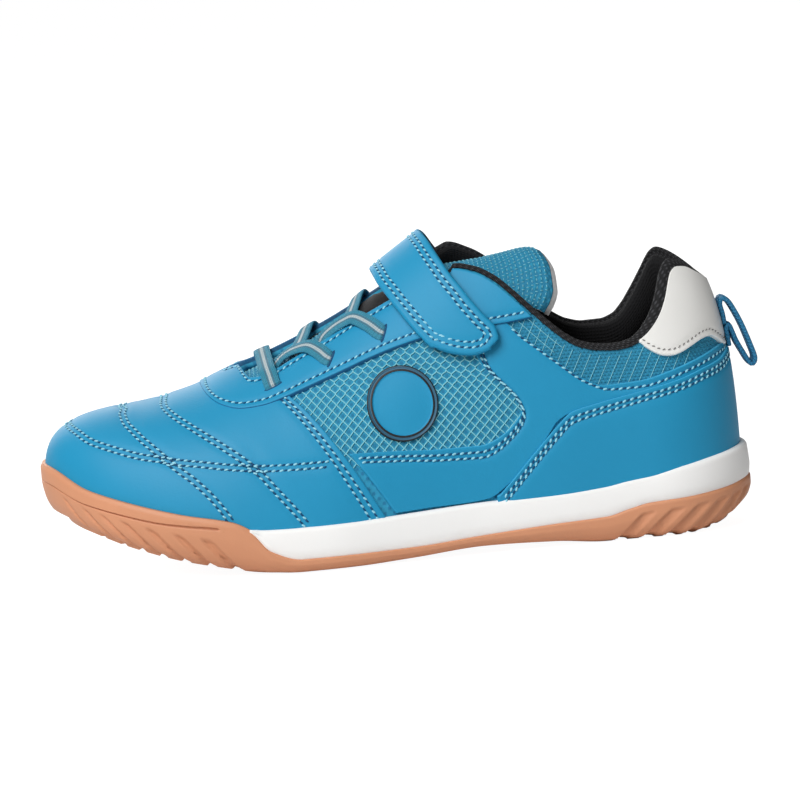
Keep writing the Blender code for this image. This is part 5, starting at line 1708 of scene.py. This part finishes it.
# Outlines of the two mesh windows in side view, a little under the panels round them
WINDOW_EDGE = np.array(((-44, 58), (-34, 46), (-24, 31), (0, 31), (28, 31), (38, 35), (44, 42), (44, 51),
                        (37, 59), (30, 69), (22, 75), (4, 75), (-8, 71), (-22, 66), (-38, 61)), float)
COLLAR_WINDOW = np.array(((46, 79), (31, 76), (36, 66), (46, 57), (56, 50), (66, 48), (76, 48), (85, 50),
                          (93, 53), (95, 59), (86, 62), (76, 66), (58, 68)), float)
COLLAR_NET_LEAN = 0.52
COLLAR_NET_PITCH = 3.3
COLLAR_NET_CLEAR = 0.014
# Threads along the collar: drop below its edge, and the girths between which they run
COLLAR_NET_ROWS = ((2.6, 98, 70), (5.6, 98, 73), (8.8, 94, 76), (12.0, 92, 80))


def inside_outline(points, outline):
    """Which points lie inside a closed outline."""
    x, z = points[:, :1], points[:, 1:]
    a, b = outline, np.roll(outline, -1, 0)
    crosses = (a[:, 1] > z) != (b[:, 1] > z)
    rise = np.where(b[:, 1] == a[:, 1], 1e-9, b[:, 1] - a[:, 1])
    return (crosses & (x < a[:, 0] + (z - a[:, 1]) / rise * (b[:, 0] - a[:, 0]))).sum(1) % 2 == 1


def collar_lines():
    """Threads of the mesh below the collar: slanted ones, and a few along its edge to the strap."""
    lines = []
    height = np.arange(44.0, 82.0, 0.6)
    for k in range(28):
        line = np.column_stack((16 + k * COLLAR_NET_PITCH + (height - 44) * COLLAR_NET_LEAN, height))
        for part in pieces_of(line, inside_outline(line, COLLAR_WINDOW)):
            place = on_lateral(part)
            lines += pieces_of(place, place[:, 1] < top_turn(place[:, 0]) - COLLAR_NET_CLEAR)
    for drop, start, end in COLLAR_NET_ROWS:
        girth = np.arange(start, end, -0.6)
        lines.append(at_height(girth, top_height(girth) - drop * 1.25))
    return lines


def make_net(shoe):
    """Open net of raised threads over the mesh windows, on both sides."""
    thread = finish("net_thread", shoe.colours.thread)
    radius = shoe.sizes.net_thread / MM / 2
    paths = [net_path(line, sign) for line in window_lines() for sign in (1, -1)]
    new_piece("window_net", *tubes(paths, radius, 5), [thread], "blue_mesh")
    paths = [net_path(line, sign, 0.1) for line in collar_lines() for sign in (1, -1)]
    new_piece("collar_net", *tubes(paths, 0.55 * radius, 5), [thread], "blue_mesh")


STITCH_SLANT = math.radians(22)
TAB_STITCH_PITCH = 1.8
# Length, width and height of a stitch of the heel tab
TAB_STITCH = (1.0, 0.34, 0.34)
STRAP_SEAM_END = 14.0
# A thread's thickness along its length, as shares
THREAD_FULL = ((-0.5, 0.35), (-0.36, 0.85), (0.0, 1.0), (0.36, 0.85), (0.5, 0.35))
THREAD_SHORT = ((-0.5, 0.5), (0.0, 1.0), (0.5, 0.5))


def stitch_runs(thickness):
    """Every seam's points and surface directions, in two lists: pale thread and dark thread."""

    def seams(panel):
        return [on_face(path, panel.top - SEAM_DEPTH) for path in panel.runs]

    panels = (vamp_panel(), side_panel(1), side_panel(-1), counter_panel(), eyestay_panel())
    pale = [seam for panel in panels for seam in seams(panel)]
    pale += [strap_seam(inset, thickness) for inset in STRAP_SEAMS]
    return pale, seams(heel_tab_panel())


def strap_seam(inset, thickness):
    """The strap's seam round its lateral end, at an inset: its points and the surface's directions."""
    edge, normal = strap_outline(thickness - STRAP_TROUGH)
    inward = np.cross(normal, unit(np.gradient(edge, axis=0)))
    path = edge + inset * inward
    keep = distance_to(path, edge) > 0.96 * inset
    keep &= path[:, 1] < STRAP_SEAM_END
    order = np.concatenate((np.arange(len(path) - 400, len(path)), np.arange(len(path) - 400)))
    chosen = order[keep[order]]
    return path[chosen], normal[chosen]


def scatter(shape, faces, origins, axes):
    """Copies of a small shape at origins, turned to axes, as one mesh."""
    points = origins[:, None] + np.einsum("vk,nkd->nvd", shape, axes)
    shift = (np.arange(len(origins)) * len(shape)).tolist()
    return points.reshape(-1, 3), [[i + s for i in f] for s in shift for f in faces]


def thread_shape(length, width, height, sides, profile):
    """A plump thread, pinched at both ends."""
    angle = np.linspace(0, 2 * math.pi, sides, endpoint=False)
    rows = []
    for along, thick in profile:
        across, up = thick * width / 2 * np.cos(angle), thick * height / 2 * np.sin(angle)
        rows.append(np.column_stack((np.full(sides, along * length), across, up)))
    return np.concatenate(rows), capped(len(rows), sides)


def along_seam(seam, pitch, phase):
    """Places, and directions along, across and off the surface, at even steps of a seam."""
    path, normal = seam
    steps = distances(path)
    at = np.arange(pitch * (0.5 + phase), steps[-1], pitch)
    along = unit(read_line(at, steps, np.gradient(path, axis=0)))
    off = unit(read_line(at, steps, normal))
    across = unit(np.cross(off, along))
    return read_line(at, steps, path), unit(np.cross(across, off)), across, off


def make_stitching(shoe):
    """Raised slanted stitches in their troughs, with dark slits between them where the thread goes in."""
    sizes = shoe.sizes
    measures = (sizes.stitch_pitch, sizes.stitch_length, sizes.stitch_thickness)
    pitch, length, thick = (value / MM for value in measures)
    pale, dark = stitch_runs(sizes.strap_thickness / MM)

    def row(name, seams, pitch, phase, lift, shape, colour):
        """One piece of stitches or slits along its seams."""
        origins, axes = [], []
        for seam in seams:
            place, along, across, off = along_seam(seam, pitch, phase)
            lean = along * math.cos(STITCH_SLANT) + across * math.sin(STITCH_SLANT)
            origins.append(place + off * lift)
            axes.append(np.stack((lean, np.cross(off, lean), off), 1))
        thread = finish(name + "_thread", colour)
        points, faces = shape
        mesh = scatter(points, faces, np.concatenate(origins), np.concatenate(axes))
        new_piece(name, *mesh, [thread], "blue_leather")

    stitch = thread_shape(length, thick, 0.8 * thick, 6, THREAD_FULL)
    # A flat dark lens of painted shadow in each needle hole, between the stitches
    slit = thread_shape(pitch - length, 0.95 * thick, 0.5 * thick, 6, THREAD_SHORT)
    dash = thread_shape(*TAB_STITCH, 6, THREAD_FULL)
    row("pale_stitches", pale, pitch, 0.0, 0.2, stitch, shoe.colours.stitch)
    row("dark_stitches", dark, TAB_STITCH_PITCH, 0.0, 0.16, dash, shoe.colours.dark_stitch)
    row("slit_shadows", pale, pitch, 0.5, 0.15, slit, shoe.colours.painted_slit_shade)


# Stage

CAMERA_AZIMUTH = math.radians(-2.5)
CAMERA_ELEVATION = math.radians(7.5)
CAMERA_ROLL = math.radians(4.4)
CAMERA_DISTANCE = 1.3
CAMERA_LENS = 180.2
CAMERA_TARGET = Vector((0.0005, 0.0, 0.0477))


WORLD_LIGHT = 0.15
# Soft lights: name, place, width and power
LIGHTS = (
    ("key", (-0.8, -1.2, 1.38), 1.2, 36.0),
    ("top", (0.0, 0.3, 1.6), 1.4, 0.8),
    ("back", (-0.5, 1.4, 0.7), 1.2, 13.0),
)


def floor_paint(shoe):
    """Pale floor that glows a little for the camera, so that only a faint shadow shows on it."""
    material = finish("studio_floor_paint", shoe.colours.floor, gloss=0.1)
    tree = material.node_tree
    shader = tree.nodes["Principled BSDF"]
    seen = add_node(tree, "ShaderNodeLightPath").outputs["Is Camera Ray"]
    for socket, hidden, shown in (("Base Color", 0.86, 0.22), ("Emission Color", 0.0, 0.96)):
        greys = ((value, value, value, 1.0) for value in (hidden, shown))
        tree.links.new(colour_mix(tree, seen, *greys), shader.inputs[socket])
    shader.inputs["Emission Strength"].default_value = 1.0
    return material


def make_stage(shoe):
    """Pale floor, soft studio light and a camera at the shoe's side."""
    scene = bpy.context.scene
    scene.view_settings.view_transform = "Standard"
    floor = bpy.data.meshes.new("studio_floor")
    size = 20.0
    corners = [(-size, -size, 0), (size, -size, 0), (size, size, 0), (-size, size, 0)]
    floor.from_pydata(corners, [], [(0, 1, 2, 3)])
    floor.materials.append(floor_paint(shoe))
    plane = bpy.data.objects.new("studio_floor", floor)
    scene.collection.objects.link(plane)
    world = bpy.data.worlds.new("studio")
    world.use_nodes = True
    world.node_tree.nodes["Background"].inputs["Color"].default_value = (1.0, 1.0, 1.0, 1.0)
    world.node_tree.nodes["Background"].inputs["Strength"].default_value = WORLD_LIGHT
    scene.world = world
    for name, place, width, power in LIGHTS:
        light = bpy.data.lights.new(name, "AREA")
        light.size = width
        light.energy = power
        lamp = bpy.data.objects.new(name, light)
        lamp.location = place
        lamp.rotation_euler = (Vector((0, 0, 0.04)) - Vector(place)).to_track_quat("-Z", "Y").to_euler()
        scene.collection.objects.link(lamp)
    camera = bpy.data.cameras.new("side_camera")
    camera.lens = CAMERA_LENS
    camera.sensor_width = 36.0
    camera.clip_end = 60.0
    eye = bpy.data.objects.new("side_camera", camera)
    level = math.cos(CAMERA_ELEVATION)
    right = Vector((math.cos(CAMERA_AZIMUTH), math.sin(CAMERA_AZIMUTH), 0.0))
    back = Vector((right.y * level, -right.x * level, math.sin(CAMERA_ELEVATION)))
    up = back.cross(right)
    rolled_right = right * math.cos(CAMERA_ROLL) - up * math.sin(CAMERA_ROLL)
    rolled_up = right * math.sin(CAMERA_ROLL) + up * math.cos(CAMERA_ROLL)
    eye.matrix_world = Matrix.Translation(CAMERA_TARGET + back * CAMERA_DISTANCE) @ Matrix(
        (rolled_right, rolled_up, back)).transposed().to_4x4()
    scene.collection.objects.link(eye)
    scene.camera = eye


# Add-on

def tint(name, description, default):
    return bpy.props.FloatVectorProperty(
        name=name, description=description, subtype="COLOR", size=3, min=0.0, max=1.0, default=default)


def length(name, description, millimetres):
    return bpy.props.FloatProperty(
        name=name, description=description, unit="LENGTH", precision=5, min=0.0, default=millimetres * MM)


class ShoeColours(bpy.types.PropertyGroup):
    """Colours of the shoe's finishes."""

    leather: tint("Leather", "Panels, strap and badge disc", (0.013, 0.285, 0.51))
    # Painted shadow in the needle holes and where the laces go into their holes
    painted_slit_shade: tint("Slit shadows", "Dark of the needle slits", (0.003, 0.065, 0.17))
    # Painted highlight along the rolled open edges of the leather panels
    edge_highlight: tint("Edge highlight", "Edges of the leather panels", (0.045, 0.39, 0.64))
    # Painted shadow along the edges of the lace stay
    stay_edge_shadow: tint("Stay edge shadow", "Edge of the lace stay", (0.006, 0.13, 0.3))
    mesh: tint("Mesh", "Backing of the mesh", (0.022, 0.3, 0.48))
    mesh_shade: tint("Mesh shade", "Middles of the mesh's cells", (0.012, 0.19, 0.35))
    thread: tint("Net", "Raised threads of the mesh", (0.2, 0.57, 0.67))
    tongue: tint("Tongue", "Ground of the tongue's mesh", (0.018, 0.27, 0.44))
    stitch: tint("Stitches", "Pale sewing thread", (0.3, 0.67, 0.8))
    dark_stitch: tint("Dark stitches", "Sewing thread of the heel tab", (0.16, 0.155, 0.15))
    midsole: tint("Midsole", "Foam rim", (0.96, 0.95, 0.93))
    gum: tint("Gum rubber", "Outsole", (0.67, 0.295, 0.155))
    lining: tint("Lining", "Collar, lining and footbed", (0.006, 0.006, 0.007))
    knit_speckle: tint("Knit speckle", "Pale loops of the collar's binding", (0.045, 0.045, 0.05))
    heel_tab: tint("Heel tab", "White leather at the heel", (0.94, 0.93, 0.895))
    tongue_lining: tint("Tongue lining", "Pale cloth under the tongue", (0.88, 0.885, 0.885))
    strap_underside: tint("Strap underside", "Hook tape under the strap", (0.06, 0.065, 0.072))
    lace_edge: tint("Lace edge", "Edges of the laces", (0.045, 0.32, 0.46))
    lace_grey: tint("Lace stripe", "Stripes beside the middle", (0.09, 0.23, 0.31))
    lace_centre: tint("Lace middle", "Middle stripe of the laces", (0.6, 0.68, 0.7))
    webbing: tint("Webbing", "Heel loop", (0.02, 0.26, 0.48))
    webbing_shade: tint("Webbing shade", "Gaps of the heel loop", (0.006, 0.1, 0.24))
    badge_band: tint("Badge band", "Band between the badge's two lines", (0.02, 0.11, 0.19))
    floor: tint("Floor", "Studio floor", (0.86, 0.86, 0.86))


class ShoeSizes(bpy.types.PropertyGroup):
    """Sizes of the shoe's trim."""

    lace_width: length("Lace width", "Width of the flat laces", 5.5)
    lace_thickness: length("Lace thickness", "Thickness of the flat laces", 1.1)
    strap_thickness: length("Strap thickness", "Thickness of the instep strap", 2.4)
    loop_width: length("Loop width", "Width of the heel loop's webbing", 10.0)
    loop_thickness: length("Loop thickness", "Thickness of the heel loop's webbing", 1.8)
    stitch_pitch: length("Stitch pitch", "Distance from stitch to stitch", 2.5)
    stitch_length: length("Stitch length", "Length of a stitch that shows", 1.35)
    stitch_thickness: length("Stitch thickness", "Thickness of the sewing thread", 0.7)
    net_thread: length("Net thread", "Thickness of the net's threads", 0.46)
    rib_depth: length("Rib depth", "Depth of the ribs on the toe bumper and the heel", 1.1)
    tread_depth: length("Tread depth", "Depth of the tread's grooves", 1.3)


class ShoeSettings(bpy.types.PropertyGroup):
    """Everything that can be set on the shoe."""

    colours: bpy.props.PointerProperty(type=ShoeColours)
    sizes: bpy.props.PointerProperty(type=ShoeSizes)


def operator(name, label, text, build):
    """An operator class that builds one group of pieces."""

    def execute(self, context):
        build(context.scene.shoe)
        return {"FINISHED"}

    members = {"bl_idname": f"shoe.{name}", "bl_label": label, "__doc__": text, "execute": execute}
    return type(f"SHOE_OT_{name}", (bpy.types.Operator,), members)


STEPS = (
    operator("outsole", "Outsole", "Rubber cup sole", make_outsole),
    operator("midsole", "Midsole", "White foam rim", make_midsole),
    operator("footbed", "Footbed", "Cloth footbed", make_footbed),
    operator("upper", "Upper", "Mesh shell and lining", make_upper_shell),
    operator("panels", "Panels", "Leather panels", make_panels),
    operator("heel_tab", "Heel tab", "White heel panel", make_heel_tab),
    operator("collar", "Collar", "Knit collar", make_collar),
    operator("tongue", "Tongue", "Padded tongue", make_tongue),
    operator("strap", "Strap", "Instep strap", make_strap),
    operator("laces", "Laces", "Flat laces", make_laces),
    operator("loop", "Heel loop", "Webbing loop", make_loop),
    operator("badge", "Badge", "Plain round badge", make_badge),
    operator("net", "Net", "Raised threads of the mesh", make_net),
    # Stitching: the stitches, with painted shadow in the needle holes
    operator("stitching", "Stitching", "Stitches and needle holes", make_stitching),
    operator("stage", "Stage", "Floor, light and camera", make_stage),
)


class SHOE_PT_pieces(bpy.types.Panel):
    """Lists the shoe's pieces, sizes and colours."""

    bl_label = "Indoor court shoe"
    bl_space_type = "VIEW_3D"
    bl_region_type = "UI"
    bl_category = "Shoe"

    def draw(self, context):
        """A button for each step, then the sizes and colours."""
        for step in STEPS:
            self.layout.operator(step.bl_idname)
        for group in (context.scene.shoe.sizes, context.scene.shoe.colours):
            for name in type(group).__annotations__:
                self.layout.prop(group, name)


CLASSES = (ShoeColours, ShoeSizes, ShoeSettings, *STEPS, SHOE_PT_pieces)


def register():
    for cls in CLASSES:
        bpy.utils.register_class(cls)
    bpy.types.Scene.shoe = bpy.props.PointerProperty(type=ShoeSettings)


def unregister():
    del bpy.types.Scene.shoe
    for cls in reversed(CLASSES):
        bpy.utils.unregister_class(cls)


def main():
    """Builds every piece and the stage, and notes the sizes."""
    register()
    for step in STEPS:
        family, name = step.bl_idname.split(".")
        getattr(getattr(bpy.ops, family), name)()


if __name__ == "__main__":
    main()
